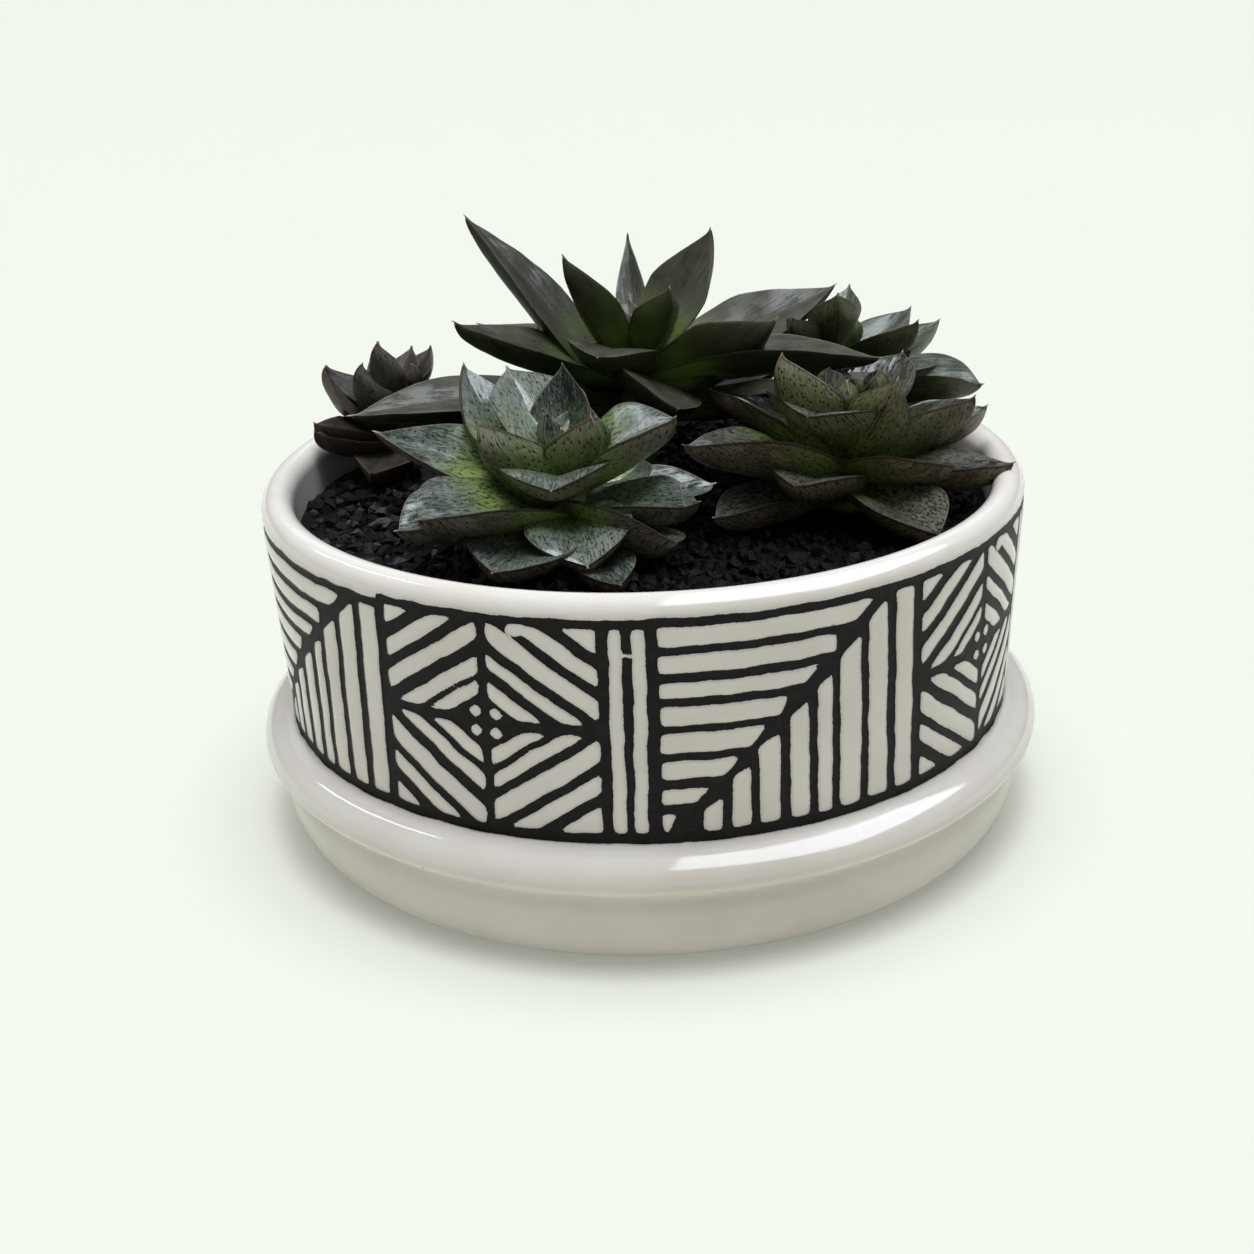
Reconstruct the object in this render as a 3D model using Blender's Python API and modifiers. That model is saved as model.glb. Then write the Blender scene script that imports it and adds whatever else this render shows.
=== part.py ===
"""A low glazed bowl planted with five echeveria rosettes under a top dressing of black gravel.

Metres, +Z up. The origin is the middle of the bowl's foot, on the surface that it stands on.
The front of the bowl faces -Y. An azimuth is in degrees from the front, positive to the right.
"""
import math
import random
from collections import namedtuple

import bmesh
import bpy
from mathutils import Matrix, Vector

MM = 0.001
GAP = 0.3 * MM

# Driving dimensions of the bowl
RIM_RADIUS = 100.0 * MM
RIM_INNER_RADIUS = 91.7 * MM
RIM_SPRING_HEIGHT = 87.9 * MM
POT_HEIGHT = 92.6 * MM
BAND_FOOT_RADIUS = 97.4 * MM
BAND_FOOT_HEIGHT = 31.2 * MM
LEDGE_RADIUS = 105.9 * MM
LEDGE_HEIGHT = 25.0 * MM
CREASE_RADIUS = 102.2 * MM
CREASE_HEIGHT = 19.9 * MM
FOOT_RADIUS = 94.4 * MM
FOOT_INNER_RADIUS = 80.0 * MM
FOOT_RECESS = 2.2 * MM
FLOOR_HEIGHT = 9.0 * MM
FLOOR_RADIUS = 79.0 * MM
WALL_FOOT_RADIUS = 89.4 * MM
WALL_FOOT_HEIGHT = 20.0 * MM
DRAIN_RADIUS = 7.0 * MM
LEDGE_SQUARENESS = 2.1
POT_SIDES = 56

# Driving dimensions of the filling
MIX_TOP = 77.7 * MM
GRAVEL_LEVEL = 81.6 * MM
GRAVEL_RELIEF = 1.1 * MM
GRAVEL_RINGS = 15
GRAVEL_SEED = 11

# Stems
STEM_FOOT = 70.0 * MM
STEM_SIDES = 12
STEM_TAPER = 0.65
BUD_HEIGHT = 6.0 * MM
LEAF_ROOT_RADIUS = 3.0
LEAF_ROOT_SHARE = 0.2
GOLDEN_ANGLE = 137.5
HEART_LEAVES = 4

# The form of a leaf: where along it is widest, its root's share of that width, how blunt its end
# is, how far its margins fold up for each unit of half width, and its thickness in millimetres
Form = namedtuple("Form", "widest root bluntness fold thickness")
BROAD = Form(0.68, 0.62, 2.8, 0.42, 3.6)
BROAD_FLAT = Form(0.68, 0.62, 2.8, 0.28, 3.6)
ACUTE = Form(0.50, 0.65, 1.8, 0.42, 3.6)
ACUTE_FLAT = Form(0.50, 0.65, 1.8, 0.24, 3.6)
BOW = Form(0.62, 0.62, 2.3, 0.22, 3.6)
OVATE = Form(0.52, 0.55, 1.7, 0.26, 3.2)
NARROW = Form(0.45, 0.70, 1.6, 0.31, 3.2)
SPECKLED = Form(0.68, 0.62, 2.6, 0.45, 3.6)
LONG = Form(0.50, 0.60, 1.6, 0.35, 3.2)
LONG_FULL = Form(0.60, 0.60, 1.7, 0.35, 3.2)
TONGUE = Form(0.64, 0.60, 1.8, 0.30, 3.2)
SPOON = Form(0.62, 0.62, 3.0, 0.10, 4.2)
BLADE = Form(0.55, 0.60, 1.6, 0.22, 3.2)
SPEAR = Form(0.60, 0.60, 1.9, 0.35, 3.2)
WAISTED = Form(0.50, 0.42, 1.8, 0.36, 3.6)
SMALL = Form(0.52, 0.64, 1.5, 0.34, 2.8)

LEAF_STATIONS = (0.0, 0.2, 0.42, 0.62, 0.8, 0.93)
SHORT_LEAF_STATIONS = (0.0, 0.32, 0.62, 0.86)
SHORT_LEAF = 29.0
SPINE_STEPS = 24

# A leaf's row: azimuth, height of its root, rise, length, width, curl, roll and form.
# Rise is the slope of the chord, curl is how much the slope grows from root to tip and roll turns
# the blade about its own length; angles are in degrees and lengths in millimetres.
Leaf = namedtuple("Leaf", "azimuth height rise length width curl roll form")
Rosette = namedtuple("Rosette", "name x y stem_radius heart_height color leaves")

FRONT_LEFT = Rosette("rosette_front_left", -19, -30, 6, 105, (0.105, 0.150, 0.105), (
    Leaf(-56, 88, 8, 46, 24, -18, -7, BROAD),
    Leaf(-22, 86, 3, 41, 28, -6, -6, BROAD_FLAT),
    Leaf(18, 86, -2, 41, 16, 6, 4, BROAD_FLAT),
    Leaf(143, 90, 8, 30, 18, 10, 10, BROAD),
    Leaf(85, 90, 2, 31, 20, 12, 8, BROAD),
    Leaf(120, 91, -5, 42, 20, 15, 10, BROAD),
    Leaf(-46, 88, 14, 46, 26, -17, -6, BROAD),
    Leaf(42, 90, 1, 38, 23, 5, -27, BROAD_FLAT),
    Leaf(9, 89, -3, 35, 26, -40, 5, BROAD_FLAT),
    Leaf(-163, 92, 12, 42, 20, 12, 0, BROAD),
    Leaf(55, 89, 12, 34, 19, -15, 7, BROAD),
    Leaf(-150, 100, 36, 34, 26, -20, 0, ACUTE),
    Leaf(-102, 94, 17, 49, 19, -6, -26, WAISTED),
    Leaf(-133, 98, 36, 42, 26, 52, 2, ACUTE_FLAT),
    Leaf(74, 97, 34, 32, 28, -18, 11, ACUTE),
    Leaf(180, 101, 53, 27, 17, 28, -22, ACUTE),
    Leaf(-5, 96, 16, 26, 27, -66, 4, BOW),
    Leaf(-143, 98, 41, 26, 13, 40, 0, ACUTE),
    Leaf(-75, 92, 51, 29, 22, 6, 37, ACUTE_FLAT),
    Leaf(163, 102, 29, 20, 13, 10, 0, ACUTE),
    Leaf(37, 99, 61, 20, 18, -13, 10, ACUTE),
    Leaf(170, 104, 35, 15, 9, 10, 0, ACUTE),
))

FRONT_RIGHT = Rosette("rosette_front_right", 53, -10, 6, 109, (0.085, 0.095, 0.060), (
    Leaf(-53, 88, 0, 42, 17, 5, 0, SPECKLED),
    Leaf(23, 89, -2, 44, 20, 0, 5, SPECKLED),
    Leaf(-165, 92, 8, 38, 20, 12, 0, SPECKLED),
    Leaf(165, 93, 10, 32, 20, 12, 0, SPECKLED),
    Leaf(114, 95, 9, 42, 20, 15, 0, SPECKLED),
    Leaf(77, 90, 6, 41, 20, 11, 2, ACUTE),
    Leaf(-64, 89, 20, 48, 26, -18, 5, ACUTE),
    Leaf(-27, 86, 19, 35, 24, -31, 0, BOW),
    Leaf(45, 91, 14, 33, 26, -22, -8, BOW),
    Leaf(-127, 92, 20, 43, 21, -33, 14, ACUTE_FLAT),
    Leaf(78, 92, 33, 36, 26, 2, -9, ACUTE),
    Leaf(143, 100, 30, 32, 18, 30, 0, SPECKLED),
    Leaf(-37, 98, 36, 22, 37, -90, 0, BOW),
    Leaf(-78, 94, 64, 33, 23, 12, 25, ACUTE),
    Leaf(30, 97, 52, 30, 17, 27, -51, ACUTE_FLAT),
    Leaf(170, 107, 16, 18, 14, 15, 0, SPECKLED),
    Leaf(-170, 108, 23, 15, 9, 10, 0, SPECKLED),
))

TALL = Rosette("rosette_tall", -1, 32, 6, 118, (0.080, 0.095, 0.068), (
    Leaf(-64, 98, 7, 82, 20, -18, -14, TONGUE),
    Leaf(-100, 99, 4, 46, 18, 5, 0, LONG_FULL),
    Leaf(125, 100, 0, 52, 14, 10, 20, LONG),
    Leaf(155, 102, 8, 50, 20, 8, 0, LONG_FULL),
    Leaf(63, 104, 11, 72, 22, -30, 0, LONG),
    Leaf(-139, 99, 26, 47, 17, 74, -2, OVATE),
    Leaf(-133, 107, 5, 62, 17, -13, 0, LONG),
    Leaf(114, 102, 20, 66, 26, 0, 14, LONG_FULL),
    Leaf(-55, 97, 37, 37, 14, 0, -29, OVATE),
    Leaf(-58, 106, 25, 58, 20, 5, -15, LONG),
    Leaf(19, 109, -6, 32, 24, -19, -27, SPOON),
    Leaf(82, 97, 8, 54, 16, 5, 0, LONG_FULL),
    Leaf(58, 101, 32, 50, 22, 10, -45, LONG_FULL),
    Leaf(-91, 95, 54, 72, 18, -14, -22, BLADE),
    Leaf(178, 105, 12, 42, 16, 10, 0, LONG_FULL),
    Leaf(111, 113, 57, 39, 21, 17, 26, OVATE),
    Leaf(-22, 110, 19, 26, 26, -68, -4, SPOON),
    Leaf(-47, 110, 57, 41, 13, -12, 17, OVATE),
    Leaf(-178, 114, 54, 35, 9, 15, 7, NARROW),
    Leaf(113, 116, 39, 20, 9, 10, 0, LONG),
    Leaf(30, 114, 50, 28, 13, 15, -12, LONG_FULL),
    Leaf(-172, 118, 38, 14, 7, 10, 0, LONG),
))

BACK_RIGHT = Rosette("rosette_back_right", 54, 44, 5, 112, (0.075, 0.105, 0.062), (
    Leaf(75, 96, 6, 42, 25, -24, 0, BROAD),
    Leaf(95, 99, 8, 34, 18, 10, 0, SPEAR),
    Leaf(-165, 99, 10, 38, 18, 10, 0, SPEAR),
    Leaf(129, 100, 12, 46, 18, 15, 0, SPEAR),
    Leaf(172, 101, 12, 40, 18, 12, 0, SPEAR),
    Leaf(134, 102, 19, 38, 17, 15, 0, SPEAR),
    Leaf(-140, 103, 26, 38, 14, 20, 0, SPEAR),
    Leaf(40, 105, 30, 36, 16, 15, 0, SPEAR),
    Leaf(47, 106, 15, 27, 20, -20, 0, SPEAR),
    Leaf(161, 108, 27, 30, 12, 15, 0, SPEAR),
    Leaf(2, 110, 49, 26, 14, 10, 0, SPEAR),
    Leaf(-34, 112, 30, 22, 12, 10, 0, SPEAR),
))

BACK_LEFT = Rosette("rosette_back_left", -69, 38, 4, 106, (0.060, 0.048, 0.040), (
    Leaf(-45, 90, 17, 28, 14, 32, -9, SMALL),
    Leaf(-10, 88, -1, 26, 19, 24, -7, SMALL),
    Leaf(75, 94, 8, 22, 13, 10, 0, SMALL),
    Leaf(135, 95, 10, 24, 14, 12, 0, SMALL),
    Leaf(-172, 96, 14, 24, 13, 12, 0, SMALL),
    Leaf(-101, 93, 44, 25, 17, 39, -14, SMALL),
    Leaf(-51, 90, 21, 26, 16, 11, -5, SMALL),
    Leaf(-126, 96, 24, 27, 13, 20, 0, SMALL),
    Leaf(-60, 93, 72, 21, 15, 26, 17, SMALL),
    Leaf(-158, 100, 43, 20, 11, 20, 0, SMALL),
    Leaf(152, 102, 28, 20, 11, 20, 0, SMALL),
    Leaf(167, 104, 27, 17, 9, 20, 0, SMALL),
    Leaf(-33, 98, 81, 21, 13, -10, -5, SMALL),
))

ROSETTES = (FRONT_LEFT, FRONT_RIGHT, TALL, BACK_RIGHT, BACK_LEFT)


def clear_scene():
    for obj in list(bpy.data.objects):
        bpy.data.objects.remove(obj, do_unlink=True)


def new_collection(name):
    collection = bpy.data.collections.new(name)
    bpy.context.scene.collection.children.link(collection)
    return collection


def make_material(name, color, roughness):
    material = bpy.data.materials.new(name)
    material.use_nodes = True
    shader = material.node_tree.nodes["Principled BSDF"]
    shader.inputs["Base Color"].default_value = (*color, 1.0)
    shader.inputs["Roughness"].default_value = roughness
    shader.inputs["Metallic"].default_value = 0.0
    return material


def make_object(name, bm, collection):
    mesh = bpy.data.meshes.new(name)
    bm.to_mesh(mesh)
    bm.free()
    obj = bpy.data.objects.new(name, mesh)
    collection.objects.link(obj)
    return obj


def superellipse_arc(center, half_width, half_height, power, start, end, count):
    """Points of a squarish quarter round, from one angle to another in degrees"""
    points = []
    for i in range(count + 1):
        angle = math.radians(start + (end - start) * i / count)
        across = abs(math.cos(angle)) ** (2 / power) * math.copysign(1, math.cos(angle))
        along = abs(math.sin(angle)) ** (2 / power) * math.copysign(1, math.sin(angle))
        points.append((center[0] + half_width * across, center[1] + half_height * along))
    return points


def inner_wall_profile(gap):
    """The inside of the bowl from its wall's top down to its floor, drawn in by a gap"""
    corner = superellipse_arc((FLOOR_RADIUS - gap, WALL_FOOT_HEIGHT),
                              WALL_FOOT_RADIUS - FLOOR_RADIUS,
                              WALL_FOOT_HEIGHT - FLOOR_HEIGHT - gap, 2.0, 0, -90, 3)
    return [(RIM_INNER_RADIUS - gap, RIM_SPRING_HEIGHT)] + corner


def wall_radius(height):
    """The inner radius of the bowl's straight wall at a height"""
    share = (height - WALL_FOOT_HEIGHT) / (RIM_SPRING_HEIGHT - WALL_FOOT_HEIGHT)
    return WALL_FOOT_RADIUS + (RIM_INNER_RADIUS - WALL_FOOT_RADIUS) * share


def turned_object(name, profile, closed, collection):
    """Turn a profile about Z. It runs down its outer side, from the top to the bottom."""
    bm = bmesh.new()
    verts = [bm.verts.new((radius, 0.0, height)) for radius, height in profile]
    for first, second in zip(verts, verts[1:]):
        bm.edges.new((first, second))
    if closed:
        bm.edges.new((verts[-1], verts[0]))
    obj = make_object(name, bm, collection)
    screw = obj.modifiers.new("turn", "SCREW")
    screw.axis = "Z"
    screw.angle = math.tau
    screw.steps = POT_SIDES
    screw.render_steps = POT_SIDES
    screw.use_merge_vertices = True
    screw.merge_threshold = 0.01 * MM
    screw.use_smooth_shade = True
    return obj


def make_pot(collection):
    rim_middle = ((RIM_RADIUS + RIM_INNER_RADIUS) / 2, RIM_SPRING_HEIGHT)
    rim_half_width = (RIM_RADIUS - RIM_INNER_RADIUS) / 2
    profile = superellipse_arc(rim_middle, rim_half_width, POT_HEIGHT - RIM_SPRING_HEIGHT,
                               2.0, 90, 0, 4)
    profile += superellipse_arc((BAND_FOOT_RADIUS, LEDGE_HEIGHT), LEDGE_RADIUS - BAND_FOOT_RADIUS,
                                BAND_FOOT_HEIGHT - LEDGE_HEIGHT, LEDGE_SQUARENESS, 90, 0, 4)
    profile += superellipse_arc((CREASE_RADIUS, LEDGE_HEIGHT), LEDGE_RADIUS - CREASE_RADIUS,
                                LEDGE_HEIGHT - CREASE_HEIGHT, LEDGE_SQUARENESS, 0, -90, 3)[1:]
    profile += superellipse_arc((FOOT_RADIUS, CREASE_HEIGHT), CREASE_RADIUS - FOOT_RADIUS,
                                CREASE_HEIGHT, 2.0, 0, -90, 4)[1:]
    profile += [
        (FOOT_INNER_RADIUS, 0.0),
        (FOOT_INNER_RADIUS - FOOT_RECESS, FOOT_RECESS),
        (DRAIN_RADIUS, FOOT_RECESS),
        (DRAIN_RADIUS, FLOOR_HEIGHT),
    ]
    profile += reversed(inner_wall_profile(0.0))
    profile += superellipse_arc(rim_middle, rim_half_width, POT_HEIGHT - RIM_SPRING_HEIGHT,
                                2.0, 180, 90, 4)[1:-1]
    pot = turned_object("pot", profile, True, collection)
    pot.data.materials.append(make_material("white_glaze", (0.80, 0.78, 0.72), 0.12))
    return pot


def make_stem_cutters(collection):
    """One plain round hole for each stem, blind in the mix and right through the gravel"""
    for rosette in ROSETTES:
        bm = bmesh.new()
        radius = rosette.stem_radius * MM + GAP
        bottom = STEM_FOOT - GAP
        depth = POT_HEIGHT - bottom
        place = Matrix.Translation((rosette.x * MM, rosette.y * MM, bottom + depth / 2))
        bmesh.ops.create_cone(bm, cap_ends=True, segments=STEM_SIDES, radius1=radius,
                              radius2=radius, depth=depth, matrix=place)
        cutter = make_object("hole_" + rosette.name, bm, collection)
        cutter.hide_render = True
        cutter.display_type = "WIRE"


def cut_stem_holes(obj, cutters):
    cut = obj.modifiers.new("stem_holes", "BOOLEAN")
    cut.operation = "DIFFERENCE"
    cut.operand_type = "COLLECTION"
    cut.collection = cutters
    cut.solver = "EXACT"


def make_potting_mix(collection, cutters):
    wall = inner_wall_profile(GAP)[1:]
    top_radius = wall_radius(MIX_TOP) - GAP
    profile = [(0.0, MIX_TOP), (top_radius, MIX_TOP)] + wall + [(0.0, FLOOR_HEIGHT + GAP)]
    mix = turned_object("potting_mix", profile, False, collection)
    cut_stem_holes(mix, cutters)
    mix.data.materials.append(make_material("dark_mix", (0.03, 0.024, 0.018), 0.95))
    return mix


def make_gravel_top(collection, cutters):
    """A slab whose top is raised in grains, larger than life, by a seeded rule"""
    draw = random.Random(GRAVEL_SEED)
    bottom = MIX_TOP + GAP
    outer = wall_radius(bottom) - GAP
    ring_step = outer / GRAVEL_RINGS
    bm = bmesh.new()
    middle = bm.verts.new((0.0, 0.0, GRAVEL_LEVEL))
    rings = []
    for ring in range(1, GRAVEL_RINGS + 1):
        verts = []
        edge = ring == GRAVEL_RINGS
        for side in range(POT_SIDES):
            turn = 0.0 if edge else draw.uniform(-0.3, 0.3)
            shift = 0.0 if edge else draw.uniform(-0.3, 0.3)
            rise = 0.0 if edge else draw.uniform(-1.0, 1.0)
            angle = math.tau * (side + turn) / POT_SIDES
            radius = ring_step * (ring + shift)
            height = GRAVEL_LEVEL + GRAVEL_RELIEF * rise
            verts.append(bm.verts.new((radius * math.cos(angle), radius * math.sin(angle), height)))
        rings.append(verts)
    foot = [bm.verts.new((vert.co.x, vert.co.y, bottom)) for vert in rings[-1]]
    rings.append(foot)
    for side in range(POT_SIDES):
        following = (side + 1) % POT_SIDES
        bm.faces.new((middle, rings[0][side], rings[0][following]))
        for inner, around in zip(rings, rings[1:]):
            a, b, c, d = inner[side], around[side], around[following], inner[following]
            bm.faces.new((a, b, c))
            bm.faces.new((a, c, d))
    bm.faces.new(tuple(reversed(foot)))
    gravel = make_object("gravel_top", bm, collection)
    cut_stem_holes(gravel, cutters)
    gravel.data.materials.append(make_material("black_gravel", (0.022, 0.023, 0.025), 0.55))
    return gravel


def half_width_share(form, t):
    """The leaf's half width at t along it, as a share of its greatest half width"""
    if t < form.widest:
        return form.root + (1 - form.root) * math.sin(math.pi / 2 * t / form.widest)
    u = (t - form.widest) / (1 - form.widest)
    return (1 - u ** form.bluntness) * (1 - 0.25 * u)


def thickness_share(t):
    """The leaf's thickness at t along it, as a share of its form's thickness"""
    swell = 0.65 + 0.35 * math.sin(math.pi * min(t / 0.9, 1))
    return swell * min(1, 2.2 * (1 - t) + 0.12)


def leaf_frame(rosette, leaf, t):
    """The point on the leaf's spine at t, with the directions across it and out of its face"""
    turn = math.radians(leaf.azimuth)
    out = Vector((math.sin(turn), -math.cos(turn), 0.0))
    level_side = Vector((math.cos(turn), math.sin(turn), 0.0))
    up = Vector((0.0, 0.0, 1.0))
    root = min(LEAF_ROOT_RADIUS, LEAF_ROOT_SHARE * leaf.width)
    point = Vector((rosette.x, rosette.y, leaf.height)) * MM + out * root * MM
    stride = leaf.length * MM * t / SPINE_STEPS
    for step in range(SPINE_STEPS):
        middle = t * (step + 0.5) / SPINE_STEPS
        slope = math.radians(leaf.rise + leaf.curl * (middle - 0.5))
        point += (out * math.cos(slope) + up * math.sin(slope)) * stride
    slope = math.radians(leaf.rise + leaf.curl * (t - 0.5))
    roll = math.radians(leaf.roll)
    level_face = up * math.cos(slope) - out * math.sin(slope)
    side = level_side * math.cos(roll) + level_face * math.sin(roll)
    face = level_face * math.cos(roll) - level_side * math.sin(roll)
    return point, side, face


def make_leaf(rosette, leaf, collection):
    """A pointed blade, channelled along its upper face and keeled beneath"""
    form = leaf.form
    stations = SHORT_LEAF_STATIONS if leaf.length < SHORT_LEAF else LEAF_STATIONS
    bm = bmesh.new()
    sections = []
    for t in stations:
        point, side, face = leaf_frame(rosette, leaf, t)
        half = leaf.width / 2 * half_width_share(form, t) * MM
        keel = form.thickness * thickness_share(t) * MM
        margin = face * (form.fold * half)
        corners = (point - side * half + margin, point - face * keel,
                   point + side * half + margin, point)
        sections.append([bm.verts.new(corner) for corner in corners])
    tip = bm.verts.new(leaf_frame(rosette, leaf, 1.0)[0])
    for near, far in zip(sections, sections[1:]):
        for k in range(4):
            following = (k + 1) % 4
            bm.faces.new((near[k], near[following], far[following]))
            bm.faces.new((near[k], far[following], far[k]))
    for k in range(4):
        bm.faces.new((sections[-1][k], sections[-1][(k + 1) % 4], tip))
    left, keel, right, channel = sections[0]
    bm.faces.new((left, channel, keel))
    bm.faces.new((keel, channel, right))
    bmesh.ops.recalc_face_normals(bm, faces=bm.faces)
    return make_object("leaf", bm, collection)


def heart_leaves(rosette):
    """The youngest leaves, nearly upright, set round the top of the stem at the golden angle"""
    rows = []
    for order in range(HEART_LEAVES):
        length = 2 * rosette.stem_radius * (1.15 - 0.13 * order)
        rows.append(Leaf(GOLDEN_ANGLE * (order + 0.6), rosette.heart_height - 3, 60 + 6 * order,
                         length, 0.6 * length, 14, 0, rosette.leaves[-1].form))
    return rows


def make_stem(rosette, collection):
    """A round stem that narrows to the pointed bud at the heart"""
    top = rosette.heart_height * MM
    radius = rosette.stem_radius * MM
    place = Matrix.Translation((rosette.x * MM, rosette.y * MM, (STEM_FOOT + top) / 2))
    bm = bmesh.new()
    bmesh.ops.create_cone(bm, cap_ends=True, segments=STEM_SIDES, radius1=radius,
                          radius2=radius * STEM_TAPER, depth=top - STEM_FOOT, matrix=place)
    cap = max(bm.faces, key=lambda face: face.calc_center_median().z)
    bud = bmesh.ops.poke(bm, faces=[cap])["verts"][0]
    bud.co.z += BUD_HEIGHT
    return make_object(rosette.name, bm, collection)


def keep_largest_body(mesh):
    """Fill the small hollows that fusing seals, by dropping every shell but the largest"""
    bm = bmesh.new()
    bm.from_mesh(mesh)
    unseen = set(bm.faces)
    shells = []
    while unseen:
        front = [unseen.pop()]
        shell = list(front)
        while front:
            face = front.pop()
            for edge in face.edges:
                for neighbour in edge.link_faces:
                    if neighbour in unseen:
                        unseen.remove(neighbour)
                        front.append(neighbour)
                        shell.append(neighbour)
        shells.append(shell)
    shells.sort(key=len)
    for shell in shells[:-1]:
        bmesh.ops.delete(bm, geom=shell, context="FACES")
    bm.to_mesh(mesh)
    bm.free()


def make_rosette(rosette, collection):
    """Fuse a stem and all its leaves into one body"""
    stem = make_stem(rosette, collection)
    leaves = new_collection("leaves_" + rosette.name)
    for leaf in list(rosette.leaves) + heart_leaves(rosette):
        make_leaf(rosette, leaf, leaves)
    fuse = stem.modifiers.new("fuse", "BOOLEAN")
    fuse.operation = "UNION"
    fuse.operand_type = "COLLECTION"
    fuse.collection = leaves
    fuse.solver = "EXACT"
    depsgraph = bpy.context.evaluated_depsgraph_get()
    fused = bpy.data.meshes.new_from_object(stem.evaluated_get(depsgraph))
    stem.modifiers.clear()
    stem.data = fused
    keep_largest_body(fused)
    for leaf in list(leaves.objects):
        bpy.data.objects.remove(leaf, do_unlink=True)
    bpy.data.collections.remove(leaves)
    fused.materials.clear()
    fused.materials.append(make_material(rosette.name + "_skin", rosette.color, 0.38))
    return stem


def main():
    clear_scene()
    model = new_collection("potted_echeveria")
    cutters = new_collection("cutters")
    make_stem_cutters(cutters)
    make_pot(model)
    make_potting_mix(model, cutters)
    make_gravel_top(model, cutters)
    for rosette in ROSETTES:
        make_rosette(rosette, model)


main()
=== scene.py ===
"""The finish of a glazed bowl planted with echeveria rosettes under black gravel.

Everything is in metres, +Z up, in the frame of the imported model. The front faces -Y.
An azimuth is in degrees from the front, positive to the right.
"""

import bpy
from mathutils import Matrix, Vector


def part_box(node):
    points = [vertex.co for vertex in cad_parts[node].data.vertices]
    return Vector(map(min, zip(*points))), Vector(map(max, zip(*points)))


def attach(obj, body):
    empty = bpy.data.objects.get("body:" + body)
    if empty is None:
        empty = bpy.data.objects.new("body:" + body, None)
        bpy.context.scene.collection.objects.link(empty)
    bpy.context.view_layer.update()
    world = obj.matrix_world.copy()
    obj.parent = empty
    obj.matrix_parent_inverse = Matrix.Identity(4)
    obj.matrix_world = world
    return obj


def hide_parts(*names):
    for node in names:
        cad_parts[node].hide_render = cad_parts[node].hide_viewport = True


bl_info = {
    "name": "Echeveria Bowl",
    "version": (1, 0, 0),
    "blender": (4, 5, 0),
    "location": "3D View > Sidebar > Echeveria",
    "description": "A glazed bowl with a painted band, echeveria rosettes and black gravel",
    "category": "Object",
}

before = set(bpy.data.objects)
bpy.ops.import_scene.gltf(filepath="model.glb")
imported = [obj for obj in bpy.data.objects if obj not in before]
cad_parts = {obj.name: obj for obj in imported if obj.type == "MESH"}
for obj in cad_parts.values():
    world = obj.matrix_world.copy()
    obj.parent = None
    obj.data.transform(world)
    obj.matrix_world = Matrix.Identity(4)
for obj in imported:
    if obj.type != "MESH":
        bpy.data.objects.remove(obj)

import math
import random
from collections import namedtuple

import bmesh
import bpy
from bpy.props import FloatProperty, FloatVectorProperty, IntProperty, PointerProperty
from mathutils import Matrix, Vector, geometry, noise

MM = 0.001
MERGE_DISTANCE = 0.01 * MM

# Panes overhead, seen only in glossy surfaces: name, place, size, turn in degrees and brightness
WINDOWS = (("right_window", (0.66, -0.20, 0.90), (1.20, 1.25), 0.0, 2.0),
           ("left_window", (-0.78, 0.40, 0.83), (0.06, 0.80), 40.0, 3.0),
           ("back_window", (-0.10, 1.30, 0.80), (1.60, 0.70), 0.0, 0.20))
WINDOW_COLOR = (0.84, 0.92, 1.0)

# Soft suns, which light the floor evenly: name, direction and colour
SUNS = (("right_light", (-0.11, -0.02, -1.0), (0.92, 0.985, 1.06)),
        ("left_light", (0.11, -0.02, -1.0), (0.95, 0.99, 1.03)))
SUN_ANGLE = 36.0

# The sky's colours at the horizon and from part of the way up
SKY = ((0.0, (0.215, 0.236, 0.240)), (0.85, (0.896, 0.943, 1.0)))

FLOOR_REACH = 9.0

# The camera's place, and its turns in degrees
CAMERA_PLACE = (0.0, -0.458, 0.238)
CAMERA_YAW = -0.67
CAMERA_PITCH = 22.93
CAMERA_ROLL = 2.12

# The bowl's section, whose greatest radius and height come from the frame; creases in degrees
POT_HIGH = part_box("pot")[1]
LEDGE_RADIUS = POT_HIGH.x - 0.01 * MM
POT_HEIGHT = POT_HIGH.z
RIM_RADIUS = LEDGE_RADIUS - 5.9 * MM
RIM_INNER_RADIUS = RIM_RADIUS - 8.3 * MM
RIM_SPRING_HEIGHT = POT_HEIGHT - 4.7 * MM
BAND_FOOT_RADIUS = 97.4 * MM
BAND_FOOT_HEIGHT = 31.2 * MM
LEDGE_HEIGHT = 24.5 * MM
LEDGE_UNDERCUT = 5.6 * MM
LEDGE_DROP = 4.5 * MM
GROOVE_REACH = 0.42
BODY_RADIUS = 101.7 * MM
BODY_HEIGHT = 14.6 * MM
BODY_SQUARENESS = 2.1
BOWL_CREASE = 50.0
FOOT_RADIUS = 94.4 * MM
FOOT_INNER_RADIUS = 80.0 * MM
FOOT_RECESS = 2.2 * MM
FLOOR_HEIGHT = 9.0 * MM
FLOOR_RADIUS = 79.0 * MM
WALL_FOOT_RADIUS = 89.4 * MM
WALL_FOOT_HEIGHT = 20.0 * MM
DRAIN_RADIUS = 7.0 * MM
SECTORS = 20

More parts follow.
